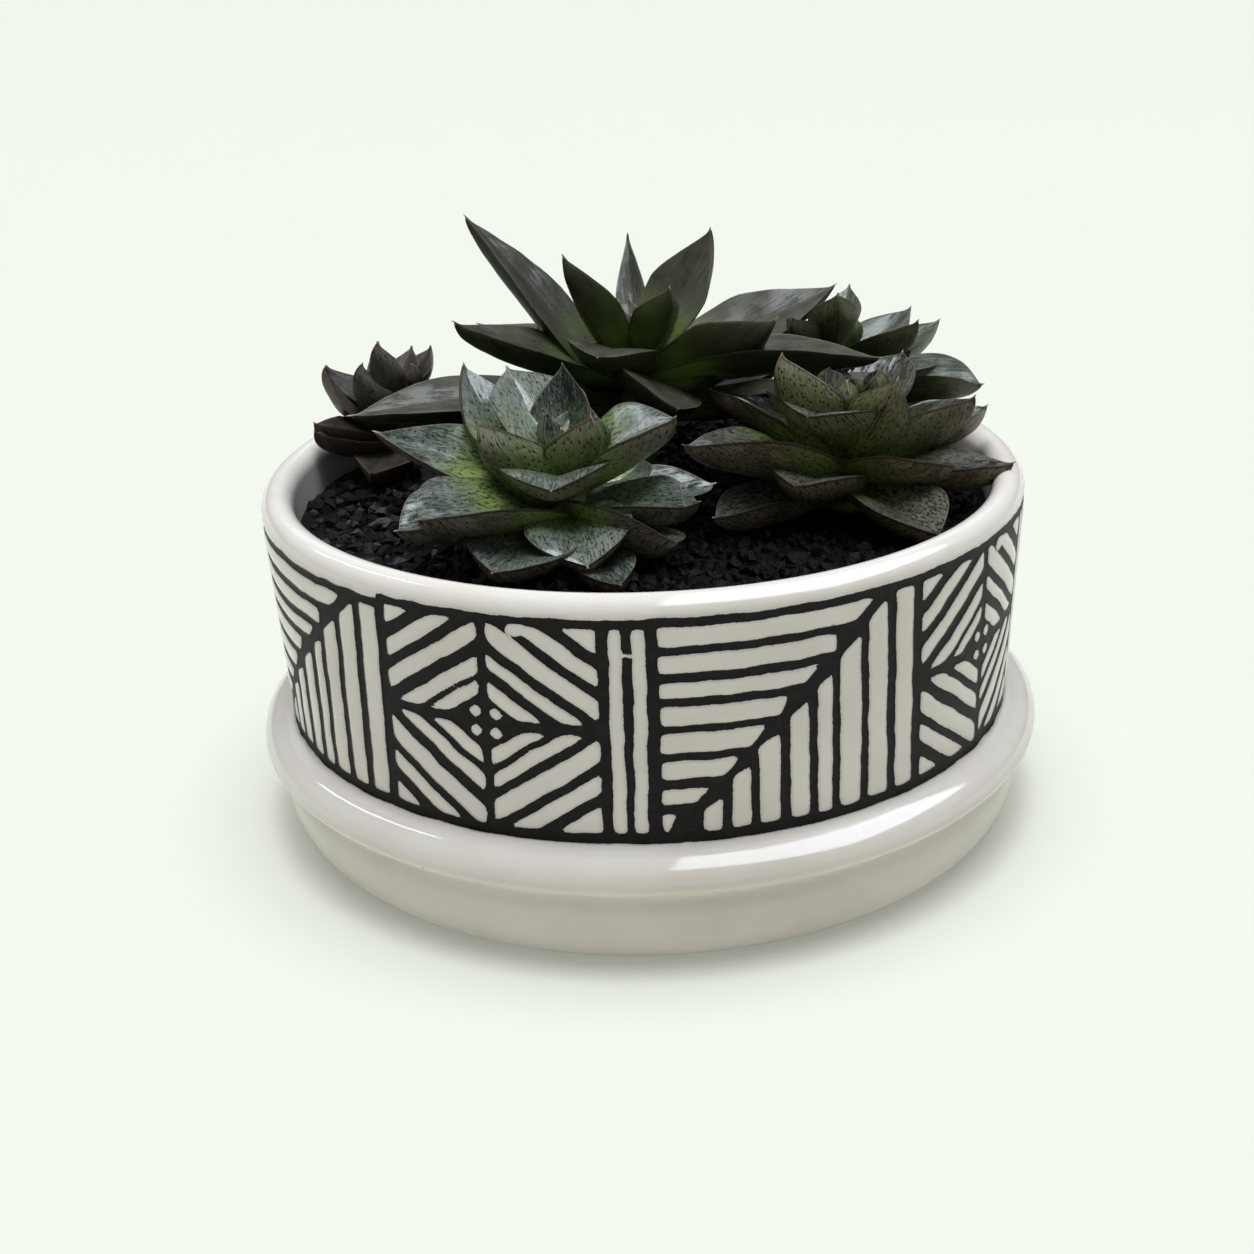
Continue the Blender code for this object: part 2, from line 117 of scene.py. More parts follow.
# The painted band, in degrees round the bowl and millimetres of height
BAND_TOP = 88.1
BAND_BOTTOM = 31.1
BAND_MIDDLE = 60.7
MM_PER_DEGREE = 1.72
BAR_TOP = 85.9
BAR_BOTTOM = 33.9
CORNER_SHARPNESS = 2.5
BAR_CLEARANCE = 1.2
FLARE = 2.9
LEFT_DROP = 1.3
DROP_FROM = 62.0
DROP_TO = 82.0
CHEVRON_WIDTH = 37.8
DIAMOND_WIDTH = 31.6
STRIPES_WIDTH = 6.6
FIRST_CHEVRON = -75.4
FRONT_PERIODS = 2
BACK_PERIODS = 3

# Depth in white, in millimetres, at which the black lines no longer matter
DEEP = 6.0

# The brush's slow and quick wander: its length and its reach in millimetres
WANDERS = ((7.0, 0.42), (2.3, 0.20))

# The filling
GRAVEL_LOW, GRAVEL_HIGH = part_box("gravel_top")
GRAVEL_RADIUS = GRAVEL_HIGH.x
GRAVEL_BED = GRAVEL_HIGH.z - 2.3 * MM
HANDFUL = 150
GRAIN_SHAPES = 28
GRAIN_POINTS = 13
BED_RINGS = 30
BED_SIDES = 120

# The distance between the rows of a triangular grid, as a share of its spacing
ROW_STEP = 0.866

# Stems and leaves
STEM_FOOT = 70.0
STEM_TAPER = 0.65
STEM_SIDES = 28
BUD_HEIGHT = 6.0
LEAF_ROOT_RADIUS = 3.0
LEAF_ROOT_SHARE = 0.2
GOLDEN_ANGLE = 137.5
HEART_LEAVES = 4
SPINE_STEPS = 24
SPUR_START = 0.968
SPUR_RADIUS = 0.36
VALLEY_SOFTNESS = 0.16
FLANK_POWER = 3.0
KEEL_POWER = 0.85
RIDGE_HEIGHT = 0.4
RIDGE_WIDTH = 0.10
MARGIN_SHARE = 0.999
HOOK_HEIGHT = 0.5
LEAF_CREASE = 70.0
LEAF_LAYERS = ("blade", "skin", "tone")

# Each leaf reads its own stretch of the noise, and so does each underside
LEAF_STRIDE = (60.0, 13.7)
UNDER_STRIDE = 400.0

# Tips above this height are pressed down slightly, which keeps them inside the CAD box
PRESSED_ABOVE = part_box("rosette_tall")[1].z - 4 * MM
PRESS = 0.1

Form = namedtuple("Form", "widest root bluntness fold thickness")
BROAD = Form(0.68, 0.62, 2.8, 0.42, 3.6)
BROAD_FLAT = Form(0.68, 0.62, 2.8, 0.28, 3.6)
ACUTE = Form(0.50, 0.65, 1.8, 0.42, 3.6)
ACUTE_FLAT = Form(0.50, 0.65, 1.8, 0.24, 3.6)
BOW = Form(0.62, 0.62, 2.3, 0.22, 3.6)
OVATE = Form(0.52, 0.55, 1.7, 0.26, 3.2)
NARROW = Form(0.45, 0.70, 1.6, 0.31, 3.2)
SPECKLED = Form(0.68, 0.62, 2.6, 0.45, 3.6)
LONG = Form(0.50, 0.60, 1.6, 0.35, 3.2)
LONG_FULL = Form(0.60, 0.60, 1.7, 0.35, 3.2)
TONGUE = Form(0.64, 0.60, 1.8, 0.30, 3.2)
SPOON = Form(0.62, 0.62, 3.0, 0.10, 4.2)
BLADE = Form(0.55, 0.60, 1.6, 0.22, 3.2)
SPEAR = Form(0.60, 0.60, 1.9, 0.35, 3.2)
WAISTED = Form(0.50, 0.42, 1.8, 0.36, 3.6)
SMALL = Form(0.52, 0.64, 1.5, 0.34, 2.8)

# A leaf's row: azimuth, height of its root, rise, length, width, curl, roll and form.
# Rise is the slope of the chord, curl is how much the slope grows from root to tip and roll turns
# the blade about its own length; angles are in degrees and lengths in millimetres.
Leaf = namedtuple("Leaf", "azimuth height rise length width curl roll form")
Rosette = namedtuple("Rosette", "name slot x y stem_radius heart_height leaves")

FRONT_LEFT = Rosette("rosette_front_left", "olive_leaf", -19, -30, 6, 105, (
    Leaf(-56, 88, 8, 46, 24, -18, -7, BROAD),
    Leaf(-22, 86, 3, 41, 28, -6, -6, BROAD_FLAT),
    Leaf(18, 86, -2, 41, 16, 6, 4, BROAD_FLAT),
    Leaf(143, 90, 8, 30, 18, 10, 10, BROAD),
    Leaf(85, 90, 2, 31, 20, 12, 8, BROAD),
    Leaf(120, 91, -5, 42, 20, 15, 10, BROAD),
    Leaf(-46, 88, 14, 46, 26, -17, -6, BROAD),
    Leaf(42, 90, 1, 38, 23, 5, -27, BROAD_FLAT),
    Leaf(9, 89, -3, 35, 26, -40, 5, BROAD_FLAT),
    Leaf(-163, 92, 12, 42, 20, 12, 0, BROAD),
    Leaf(55, 89, 12, 34, 19, -15, 7, BROAD),
    Leaf(-150, 100, 36, 34, 26, -20, 0, ACUTE),
    Leaf(-102, 94, 17, 49, 19, -6, -26, WAISTED),
    Leaf(-133, 98, 36, 42, 26, 52, 2, ACUTE_FLAT),
    Leaf(74, 97, 34, 32, 28, -18, 11, ACUTE),
    Leaf(180, 101, 53, 27, 17, 28, -22, ACUTE),
    Leaf(-5, 96, 16, 26, 27, -66, 4, BOW),
    Leaf(-143, 98, 41, 26, 13, 40, 0, ACUTE),
    Leaf(-75, 92, 51, 29, 22, 6, 37, ACUTE_FLAT),
    Leaf(163, 102, 29, 20, 13, 10, 0, ACUTE),
    Leaf(37, 99, 61, 20, 18, -13, 10, ACUTE),
    Leaf(170, 104, 35, 15, 9, 10, 0, ACUTE),
))

FRONT_RIGHT = Rosette("rosette_front_right", "speckled_leaf", 53, -10, 6, 109, (
    Leaf(-53, 88, 0, 42, 17, 5, 0, SPECKLED),
    Leaf(23, 89, -2, 44, 20, 0, 5, SPECKLED),
    Leaf(-165, 92, 8, 38, 20, 12, 0, SPECKLED),
    Leaf(165, 93, 10, 32, 20, 12, 0, SPECKLED),
    Leaf(114, 95, 9, 42, 20, 15, 0, SPECKLED),
    Leaf(77, 90, 6, 41, 20, 11, 2, ACUTE),
    Leaf(-64, 89, 20, 48, 26, -18, 5, ACUTE),
    Leaf(-27, 86, 19, 35, 24, -31, 0, BOW),
    Leaf(45, 91, 14, 33, 26, -22, -8, BOW),
    Leaf(-127, 92, 20, 43, 21, -33, 14, ACUTE_FLAT),
    Leaf(78, 92, 33, 36, 26, 2, -9, ACUTE),
    Leaf(143, 100, 30, 32, 18, 30, 0, SPECKLED),
    Leaf(-37, 98, 36, 22, 37, -90, 0, BOW),
    Leaf(-78, 94, 64, 33, 23, 12, 25, ACUTE),
    Leaf(30, 97, 52, 30, 17, 27, -51, ACUTE_FLAT),
    Leaf(170, 107, 16, 18, 14, 15, 0, SPECKLED),
    Leaf(-170, 108, 23, 15, 9, 10, 0, SPECKLED),
))

TALL = Rosette("rosette_tall", "charcoal_leaf", -1, 32, 6, 118, (
    Leaf(-64, 98, 7, 82, 20, -18, -14, TONGUE),
    Leaf(-100, 99, 4, 46, 18, 5, 0, LONG_FULL),
    Leaf(125, 100, 0, 52, 14, 10, 20, LONG),
    Leaf(155, 102, 8, 50, 20, 8, 0, LONG_FULL),
    Leaf(63, 104, 11, 72, 22, -30, 0, LONG),
    Leaf(-139, 99, 26, 47, 17, 74, -2, OVATE),
    Leaf(-133, 107, 5, 62, 17, -13, 0, LONG),
    Leaf(114, 102, 20, 66, 26, 0, 14, LONG_FULL),
    Leaf(-55, 97, 37, 37, 14, 0, -29, OVATE),
    Leaf(-58, 106, 25, 58, 20, 5, -15, LONG),
    Leaf(19, 109, -6, 32, 24, -19, -27, SPOON),
    Leaf(82, 97, 8, 54, 16, 5, 0, LONG_FULL),
    Leaf(58, 101, 32, 50, 22, 10, -45, LONG_FULL),
    Leaf(-91, 95, 54, 72, 18, -14, -22, BLADE),
    Leaf(178, 105, 12, 42, 16, 10, 0, LONG_FULL),
    Leaf(111, 113, 57, 39, 21, 17, 26, OVATE),
    Leaf(-22, 110, 19, 26, 26, -68, -4, SPOON),
    Leaf(-47, 110, 57, 41, 13, -12, 17, OVATE),
    Leaf(-178, 114, 54, 35, 9, 15, 7, NARROW),
    Leaf(113, 116, 39, 20, 9, 10, 0, LONG),
    Leaf(30, 114, 50, 28, 13, 15, -12, LONG_FULL),
    Leaf(-172, 118, 38, 14, 7, 10, 0, LONG),
))

BACK_RIGHT = Rosette("rosette_back_right", "grey_green_leaf", 54, 44, 5, 112, (
    Leaf(75, 96, 6, 42, 25, -24, 0, BROAD),
    Leaf(95, 99, 8, 34, 18, 10, 0, SPEAR),
    Leaf(-165, 99, 10, 38, 18, 10, 0, SPEAR),
    Leaf(129, 100, 12, 46, 18, 15, 0, SPEAR),
    Leaf(172, 101, 12, 40, 18, 12, 0, SPEAR),
    Leaf(134, 102, 19, 38, 17, 15, 0, SPEAR),
    Leaf(-140, 103, 26, 38, 14, 20, 0, SPEAR),
    Leaf(40, 105, 30, 36, 16, 15, 0, SPEAR),
    Leaf(47, 106, 15, 27, 20, -20, 0, SPEAR),
    Leaf(161, 108, 27, 30, 12, 15, 0, SPEAR),
    Leaf(2, 110, 49, 26, 14, 10, 0, SPEAR),
    Leaf(-34, 112, 30, 22, 12, 10, 0, SPEAR),
))

BACK_LEFT = Rosette("rosette_back_left", "maroon_leaf", -69, 38, 4, 106, (
    Leaf(-45, 90, 17, 28, 14, 32, -9, SMALL),
    Leaf(-10, 88, -1, 26, 19, 24, -7, SMALL),
    Leaf(75, 94, 8, 22, 13, 10, 0, SMALL),
    Leaf(135, 95, 10, 24, 14, 12, 0, SMALL),
    Leaf(-172, 96, 14, 24, 13, 12, 0, SMALL),
    Leaf(-101, 93, 44, 25, 17, 39, -14, SMALL),
    Leaf(-51, 90, 21, 26, 16, 11, -5, SMALL),
    Leaf(-126, 96, 24, 27, 13, 20, 0, SMALL),
    Leaf(-60, 93, 72, 21, 15, 26, 17, SMALL),
    Leaf(-158, 100, 43, 20, 11, 20, 0, SMALL),
    Leaf(152, 102, 28, 20, 11, 20, 0, SMALL),
    Leaf(167, 104, 27, 17, 9, 20, 0, SMALL),
    Leaf(-33, 98, 81, 21, 13, -10, -5, SMALL),
))

ROSETTES = (FRONT_LEFT, FRONT_RIGHT, TALL, BACK_RIGHT, BACK_LEFT)

# How a rosette's skin looks: its colours, the share of a leaf that its green reaches and how
# strong that green is, how many flecks it has on its faces and beneath, how wrinkled and rough
# it is, how much its wax shines and the colour of its thin edge
Skin = namedtuple("Skin", "dusk light under under_light green fleck margin reach greenness "
                          "face_flecks under_flecks wrinkling roughness wax edge")
SKINS = {
    "olive_leaf": Skin(
        dusk=(0.038, 0.052, 0.040), light=(0.157, 0.182, 0.147), under=(0.066, 0.057, 0.038),
        under_light=(0.172, 0.154, 0.112), green=(0.210, 0.296, 0.066),
        fleck=(0.008, 0.008, 0.006), margin=(0.054, 0.026, 0.013), reach=0.72, greenness=0.95,
        face_flecks=0.50, under_flecks=0.85, wrinkling=0.70, roughness=0.25, wax=0.9,
        edge=(0.172, 0.160, 0.123)),
    "speckled_leaf": Skin(
        dusk=(0.029, 0.031, 0.020), light=(0.120, 0.118, 0.087), under=(0.066, 0.050, 0.027),
        under_light=(0.172, 0.145, 0.084), green=(0.150, 0.215, 0.040),
        fleck=(0.006, 0.005, 0.004), margin=(0.044, 0.022, 0.011), reach=0.60, greenness=0.9,
        face_flecks=0.60, under_flecks=1.0, wrinkling=0.90, roughness=0.25, wax=0.9,
        edge=(0.172, 0.160, 0.123)),
    "charcoal_leaf": Skin(
        dusk=(0.036, 0.034, 0.023), light=(0.074, 0.070, 0.049), under=(0.013, 0.016, 0.006),
        under_light=(0.025, 0.032, 0.010), green=(0.140, 0.210, 0.035),
        fleck=(0.014, 0.013, 0.010), margin=(0.047, 0.034, 0.021), reach=0.50, greenness=0.95,
        face_flecks=0.04, under_flecks=0.06, wrinkling=0.10, roughness=0.34, wax=0.35,
        edge=(0.136, 0.140, 0.085)),
    "grey_green_leaf": Skin(
        dusk=(0.036, 0.041, 0.028), light=(0.118, 0.136, 0.094), under=(0.048, 0.058, 0.023),
        under_light=(0.096, 0.098, 0.052), green=(0.104, 0.175, 0.034),
        fleck=(0.010, 0.010, 0.008), margin=(0.057, 0.040, 0.028), reach=0.55, greenness=0.9,
        face_flecks=0.15, under_flecks=0.40, wrinkling=0.3, roughness=0.30, wax=0.5,
        edge=(0.115, 0.105, 0.076)),
    "maroon_leaf": Skin(
        dusk=(0.022, 0.018, 0.014), light=(0.050, 0.042, 0.034), under=(0.036, 0.027, 0.019),
        under_light=(0.073, 0.058, 0.044), green=(0.052, 0.062, 0.021),
        fleck=(0.007, 0.006, 0.005), margin=(0.078, 0.050, 0.038), reach=0.30, greenness=0.4,
        face_flecks=0.15, under_flecks=0.3, wrinkling=0.2, roughness=0.32, wax=0.08,
        edge=(0.125, 0.090, 0.071)),
}
TIP_COLOR = (0.36, 0.28, 0.18)

# Leaves whose tint isn't drawn, by their row: below 0 is darker than any draw, painted shade on
# leaves that lie in shadow, and above 1 paler, painted sheen on leaves whose wax catches the light.
# The rows after a rosette's last one are the leaves of its heart.
LEAF_TONES_AND_PAINTED_LIGHT = {
    "rosette_front_left": {11: 1.3, 13: 0.9, 14: 1.0, 15: -1.2, 16: 0.6, 17: -0.7, 18: 0.4,
                           19: -0.5, 20: 0.3, 21: -0.3, 22: -0.3, 23: -0.3, 24: -0.3, 25: -0.3},
    "rosette_tall": {5: -0.4, 13: 0.0, 15: 1.0},
}

# The other finishes: the glaze's cloudy tint and specks, the mix, the lava's shades, and the
# near-black of the painted shade on the lava right of the middle
GLAZE_CLOUD = (0.90, 0.885, 0.86)
SPECK_COLOR = (0.20, 0.15, 0.10)
MIX_COLORS = ((0.014, 0.010, 0.007), (0.060, 0.043, 0.028))
LAVA_COLORS = ((0.0, (0.0030, 0.0030, 0.0032)), (0.5, (0.0085, 0.0085, 0.0090)),
               (0.8, (0.025, 0.025, 0.026)), (1.0, (0.068, 0.068, 0.068)))
LAVA_GRIT = (0.016, 0.016, 0.017)
# Near-black for the painted shade of the plants on the lava right of the middle
PAINTED_SHADE_LAVA = (0.0006, 0.0006, 0.0006)

# The gravel's painted shade fades in over this distance to each side of the bowl's middle
PAINTED_SHADE_REACH = 15 * MM


class BowlSettings(bpy.types.PropertyGroup):
    """The glazed bowl and its painted band"""
    sides: IntProperty(name="Sides", description="Faces round the bowl", default=720, min=48)
    band_rows: IntProperty(
        name="Band Rows", description="Faces up the painted band", default=66, min=8)
    seed: IntProperty(name="Seed", description="Seed of the brush's wander", default=7, min=1)
    bar_relief: FloatProperty(
        name="Bar Relief", description="How far the white bars stand out of the black paint",
        default=0.38 * MM, min=0.0, unit="LENGTH", precision=5)
    glaze_color: FloatVectorProperty(
        name="Glaze", description="Colour of the white glaze", subtype="COLOR",
        default=(0.782, 0.720, 0.662), min=0.0, max=1.0)
    paint_color: FloatVectorProperty(
        name="Paint", description="Colour of the painted band's lines", subtype="COLOR",
        default=(0.0045, 0.0045, 0.0040), min=0.0, max=1.0)


class LeafSettings(bpy.types.PropertyGroup):
    """The leaves of all the rosettes"""
    section_points: IntProperty(
        name="Section Points", description="Points round a leaf's section", default=32, min=8)
    stations: IntProperty(
        name="Stations", description="Sections along a leaf", default=36, min=8)
    fleshiness: FloatProperty(
        name="Fleshiness", description="Thickness of the blades, as a share of the solid's",
        default=1.55, min=0.3, subtype="FACTOR")
    unevenness: FloatProperty(
        name="Unevenness", description="Height of the swells in a leaf's skin",
        default=0.30 * MM, min=0.0, unit="LENGTH", precision=5)


class GravelSettings(bpy.types.PropertyGroup):
    """The top dressing of lava grains"""
    spacing: FloatProperty(
        name="Spacing", description="Distance between the middles of neighbouring grains",
        default=3.7 * MM, min=0.5 * MM, unit="LENGTH", precision=5)
    smallest: FloatProperty(
        name="Smallest Grain", description="Mean radius of the smallest grains",
        default=1.45 * MM, min=0.1 * MM, unit="LENGTH", precision=5)
    largest: FloatProperty(
        name="Largest Grain", description="Mean radius of the largest grains",
        default=3.2 * MM, min=0.1 * MM, unit="LENGTH", precision=5)
    loose_share: FloatProperty(
        name="Loose Share", description="Share of places that hold a second grain on top",
        default=0.3, min=0.0, max=1.0, subtype="FACTOR")
    seed: IntProperty(name="Seed", description="Seed of the grains' draw", default=5)


class StageSettings(bpy.types.PropertyGroup):
    """Floor, light and camera"""
    floor_color: FloatVectorProperty(
        name="Floor", description="Colour of the floor", subtype="COLOR",
        default=(0.530, 0.530, 0.455), min=0.0, max=1.0)
    floor_glow: FloatVectorProperty(
        name="Floor glow", description="Light that the floor itself gives, which lifts its shadows",
        subtype="COLOR", default=(0.202, 0.212, 0.193), min=0.0, max=1.0)
    sky_strength: FloatProperty(
        name="Sky", description="Strength of the light from all round", default=0.36, min=0.0)
    right_strength: FloatProperty(
        name="Right light", description="Strength of the soft light overhead on the right",
        default=2.05, min=0.0)
    left_strength: FloatProperty(
        name="Left light", description="Strength of the soft light overhead on the left",
        default=1.50, min=0.0)
    window_power: FloatProperty(
        name="Window Light", description="Power per square metre of the glossy panes",
        default=12.0, min=0.0)
    lens: FloatProperty(
        name="Lens", description="Focal length of the camera in millimetres", default=51.67,
        min=1.0, unit="CAMERA")


class Value:
    """A shader socket that arithmetic works on; an expression adds its Math nodes"""

    def __init__(self, shader, socket):
        self.shader = shader
        self.socket = socket

    def math(self, operation, first, second):
        return self.shader.node("ShaderNodeMath", {"operation": operation}, {0: first, 1: second})

    def __add__(self, other):
        return self.math("ADD", self, other)

    def __radd__(self, other):
        return self.math("ADD", other, self)

    def __sub__(self, other):
        return self.math("SUBTRACT", self, other)

    def __rsub__(self, other):
        return self.math("SUBTRACT", other, self)

    def __mul__(self, other):
        return self.math("MULTIPLY", self, other)

    def __rmul__(self, other):
        return self.math("MULTIPLY", other, self)


class Shader:
    """A material's nodes, made from expressions"""

    def __init__(self, name):
        self.material = bpy.data.materials.new(name)
        self.material.use_nodes = True
        self.tree = self.material.node_tree
        self.surface = self.tree.nodes["Principled BSDF"]

    def node(self, kind, settings=None, inputs=None, output=0):
        """Add a node: its settings first, then its sockets' values or links"""
        node = self.tree.nodes.new(kind)
        for key, value in (settings or {}).items():
            if key == "stops":
                ramp = node.color_ramp
                while len(ramp.elements) < len(value):
                    ramp.elements.new(0.5)
                for element, (place, color) in zip(ramp.elements, value):
                    element.position = place
                    element.color = (*color, 1.0)
            else:
                setattr(node, key, value)
        for key, value in (inputs or {}).items():
            self.feed(node.inputs[key], value)
        return Value(self, node.outputs[output])

    def feed(self, socket, value):
        """Link a socket or set its own value"""
        if isinstance(value, Value):
            self.tree.links.new(value.socket, socket)
        elif socket.type == "RGBA" and len(value) == 3:
            socket.default_value = (*value, 1.0)
        else:
            socket.default_value = value

    def attribute(self, name, output="Vector"):
        return self.node("ShaderNodeAttribute",
                         {"attribute_type": "GEOMETRY", "attribute_name": name}, output=output)

    def object_place(self):
        return self.node("ShaderNodeTexCoord", output="Object")

    def parts(self, vector):
        """The three numbers of a vector"""
        split = self.node("ShaderNodeSeparateXYZ", None, {0: vector}).socket.node
        return [Value(self, number) for number in split.outputs]

    def stretched(self, vector, scale):
        return self.node("ShaderNodeVectorMath", {"operation": "MULTIPLY"}, {0: vector, 1: scale})

    def noise(self, place, scale, detail=2.0, roughness=0.5):
        return self.node("ShaderNodeTexNoise", None, {
            "Vector": place, "Scale": scale, "Detail": detail, "Roughness": roughness})

    def cells(self, place, scale, flat=False):
        """Scattered cells: the distance from each one's point, and a number drawn for each"""
        settings = {"voronoi_dimensions": "2D" if flat else "3D"}
        distance = self.node("ShaderNodeTexVoronoi", settings, {"Vector": place, "Scale": scale})
        color = Value(self, distance.socket.node.outputs["Color"])
        return distance, self.parts(color)[0]

    def smooth(self, value, low, high, start=0.0, end=1.0):
        """0 below low, 1 above high and a smooth step between"""
        return self.node("ShaderNodeMapRange", {"interpolation_type": "SMOOTHSTEP"}, {
            "Value": value, "From Min": low, "From Max": high, "To Min": start, "To Max": end})

    def fade(self, value, low, high):
        """1 below low, 0 above high and a smooth step between"""
        return self.smooth(value, low, high, 1.0, 0.0)

    def blend(self, share, first, second):
        """A colour between two, by a share"""
        return self.node("ShaderNodeMix", {"data_type": "RGBA"}, {0: share, 6: first, 7: second},
                         output=2)

    def bump(self, height, distance, strength=1.0):
        return self.node("ShaderNodeBump", None, {
            "Height": height, "Distance": distance, "Strength": strength})

    def finish(self, **sockets):
        """Feed the surface's sockets; a name's underscores stand for spaces"""
        for key, value in sockets.items():
            self.feed(self.surface.inputs[key.replace("_", " ")], value)
        return self.material


def new_mesh(name, bm):
    """Make a mesh from a bmesh, which is then freed"""
    mesh = bpy.data.meshes.new(name)
    bm.to_mesh(mesh)
    bm.free()
    return mesh


def new_object(name, data):
    """Make an object of the scene, at the origin"""
    made = bpy.data.objects.new(name, data)
    bpy.context.scene.collection.objects.link(made)
    return made


def new_piece(name, bm):
    return new_object(name, new_mesh(name, bm))


def scaled(color, factor):
    return tuple(channel * factor for channel in color)


def smooth_step(low, high, value):
    share = min(max((value - low) / (high - low), 0.0), 1.0)
    return share * share * (3.0 - 2.0 * share)


def superellipse_arc(center, half_width, half_height, start, end, count, squareness=2.0):
    """Points of a rounded corner, from one angle to another in degrees; 2 is an ellipse"""
    points = []
    for i in range(count + 1):
        angle = math.radians(start + (end - start) * i / count)
        across, along = (math.copysign(abs(share) ** (2 / squareness), share)
                         for share in (math.cos(angle), math.sin(angle)))
        points.append((center[0] + half_width * across, center[1] + half_height * along))
    return points


def straight_run(start, end, count):
    """Points between two ends, without the ends"""
    return [(start[0] + (end[0] - start[0]) * i / count, start[1] + (end[1] - start[1]) * i / count)
            for i in range(1, count)]


def soft_groove(above, below):
    """A smooth hollow between two runs of the section, given by the ends that it joins"""
    start, end = Vector(above[1]), Vector(below[0])
    reach = (end - start).length * GROOVE_REACH
    leave = (start - Vector(above[0])).normalized() * reach
    arrive = (end - Vector(below[1])).normalized() * reach
    curve = geometry.interpolate_bezier(start, start + leave, end + arrive, end, 8)
    return [tuple(point[:2]) for point in curve[1:-1]]


def bowl_profile(band_rows):
    """The bowl's closed section, down its outer side and back up inside"""
    rim_middle = ((RIM_RADIUS + RIM_INNER_RADIUS) / 2, RIM_SPRING_HEIGHT)
    rim_half_width = (RIM_RADIUS - RIM_INNER_RADIUS) / 2
    rim_rise = POT_HEIGHT - RIM_SPRING_HEIGHT
    band_foot = (BAND_FOOT_RADIUS, BAND_FOOT_HEIGHT)
    profile = superellipse_arc(rim_middle, rim_half_width, rim_rise, 90, 0, 8)
    profile += straight_run(profile[-1], band_foot, band_rows)
    profile += superellipse_arc((BAND_FOOT_RADIUS, LEDGE_HEIGHT), LEDGE_RADIUS - BAND_FOOT_RADIUS,
                                BAND_FOOT_HEIGHT - LEDGE_HEIGHT, 90, 0, 14)
    roll = superellipse_arc((LEDGE_RADIUS - LEDGE_UNDERCUT, LEDGE_HEIGHT), LEDGE_UNDERCUT,
                            LEDGE_DROP, 0, -74, 8)[1:]
    body = superellipse_arc((FOOT_RADIUS, BODY_HEIGHT), BODY_RADIUS - FOOT_RADIUS, BODY_HEIGHT,
                            0, -90, 10, BODY_SQUARENESS)
    profile += roll + soft_groove(roll[-2:], body[:2]) + body
    profile += [
        (FOOT_INNER_RADIUS, 0.0),
        (FOOT_INNER_RADIUS - FOOT_RECESS, FOOT_RECESS),
        (DRAIN_RADIUS, FOOT_RECESS),
        (DRAIN_RADIUS, FLOOR_HEIGHT),
        (FLOOR_RADIUS, FLOOR_HEIGHT),
        (WALL_FOOT_RADIUS, WALL_FOOT_HEIGHT),
    ]
    profile += straight_run(profile[-1], (RIM_INNER_RADIUS, RIM_SPRING_HEIGHT), 4)
    profile += superellipse_arc(rim_middle, rim_half_width, rim_rise, 180, 90, 7)[:-1]
    return profile


class Bar:
    """A white bar of the band: the inside of straight edges round its corner points"""

    def __init__(self, *corners):
        points = [Vector((angle * MM_PER_DEGREE, height)) for angle, height in corners]
        middle = sum(points, Vector((0.0, 0.0))) / len(points)
        self.low = Vector((min(point.x for point in points), min(point.y for point in points)))
        self.high = Vector((max(point.x for point in points), max(point.y for point in points)))
        self.edges = []
        for first, second in zip(points, points[1:] + points[:1]):
            along = (second - first).normalized()
            inward = Vector((-along.y, along.x))
            if inward.dot(middle - first) < 0:
                inward.negate()
            self.edges.append((inward, inward.dot(first)))

    def depth(self, point):
        """How far inside the bar a point is in millimetres, with the corners rounded"""
        beside = max(self.low.x - point.x, point.x - self.high.x, self.low.y - point.y,
                     point.y - self.high.y)
        if beside > BAR_CLEARANCE:
            return -BAR_CLEARANCE
        depths = [inward.dot(point) - offset for inward, offset in self.edges]
        least = min(depths)
        crowding = sum(math.exp(CORNER_SHARPNESS * (least - depth)) for depth in depths)
        return least - math.log(crowding) / CORNER_SHARPNESS


def straight_bar(start, end, low, high):
    return Bar((start, low), (end, low), (end, high), (start, high))


def lozenge(angle, height, half_angle, half_height):
    return Bar((angle - half_angle, height), (angle, height - half_height),
               (angle + half_angle, height), (angle, height + half_height))


def chevron_bars():
    """Level bars over upright ones, mitred along a rising diagonal"""
    left = 0.7
    # Lower and upper edge, and the angles where these end
    level = (
        (81.3, 85.9, 27.6, 30.2), (74.7, 79.2, 24.2, 24.2), (68.5, 72.3, 20.2, 22.0),
        (61.6, 66.3, 16.3, 17.4), (54.7, 59.7, 12.6, 14.5), (48.1, 52.5, 8.9, 10.9),
        (41.4, 45.4, 5.0, 7.0), (33.6, 38.9, 1.3, 2.6),
    )
    # Left and right edge, and the heights where these end
    upright = (
        (5.9, 8.4, 39.3, 42.6), (9.7, 12.2, 47.2, 49.6), (13.4, 16.2, 54.0, 57.0),
        (17.6, 20.3, 60.3, 64.0), (21.6, 23.8, 67.0, 69.6), (25.0, 28.2, 73.5, 77.7),
        (29.4, 32.5, 80.4, 84.9), (34.0, 37.1, 85.8, 85.8),
    )
    bars = [Bar((left, low), (low_end, low), (high_end, high), (left, high))
            for low, high, low_end, high_end in level]
    bars += [Bar((start, BAR_BOTTOM), (end, BAR_BOTTOM), (end, high_end), (start, high_start))
             for start, end, high_start, high_end in upright]
    bars.append(lozenge(4.0, 34.2, 0.4, 1.1))
    return bars


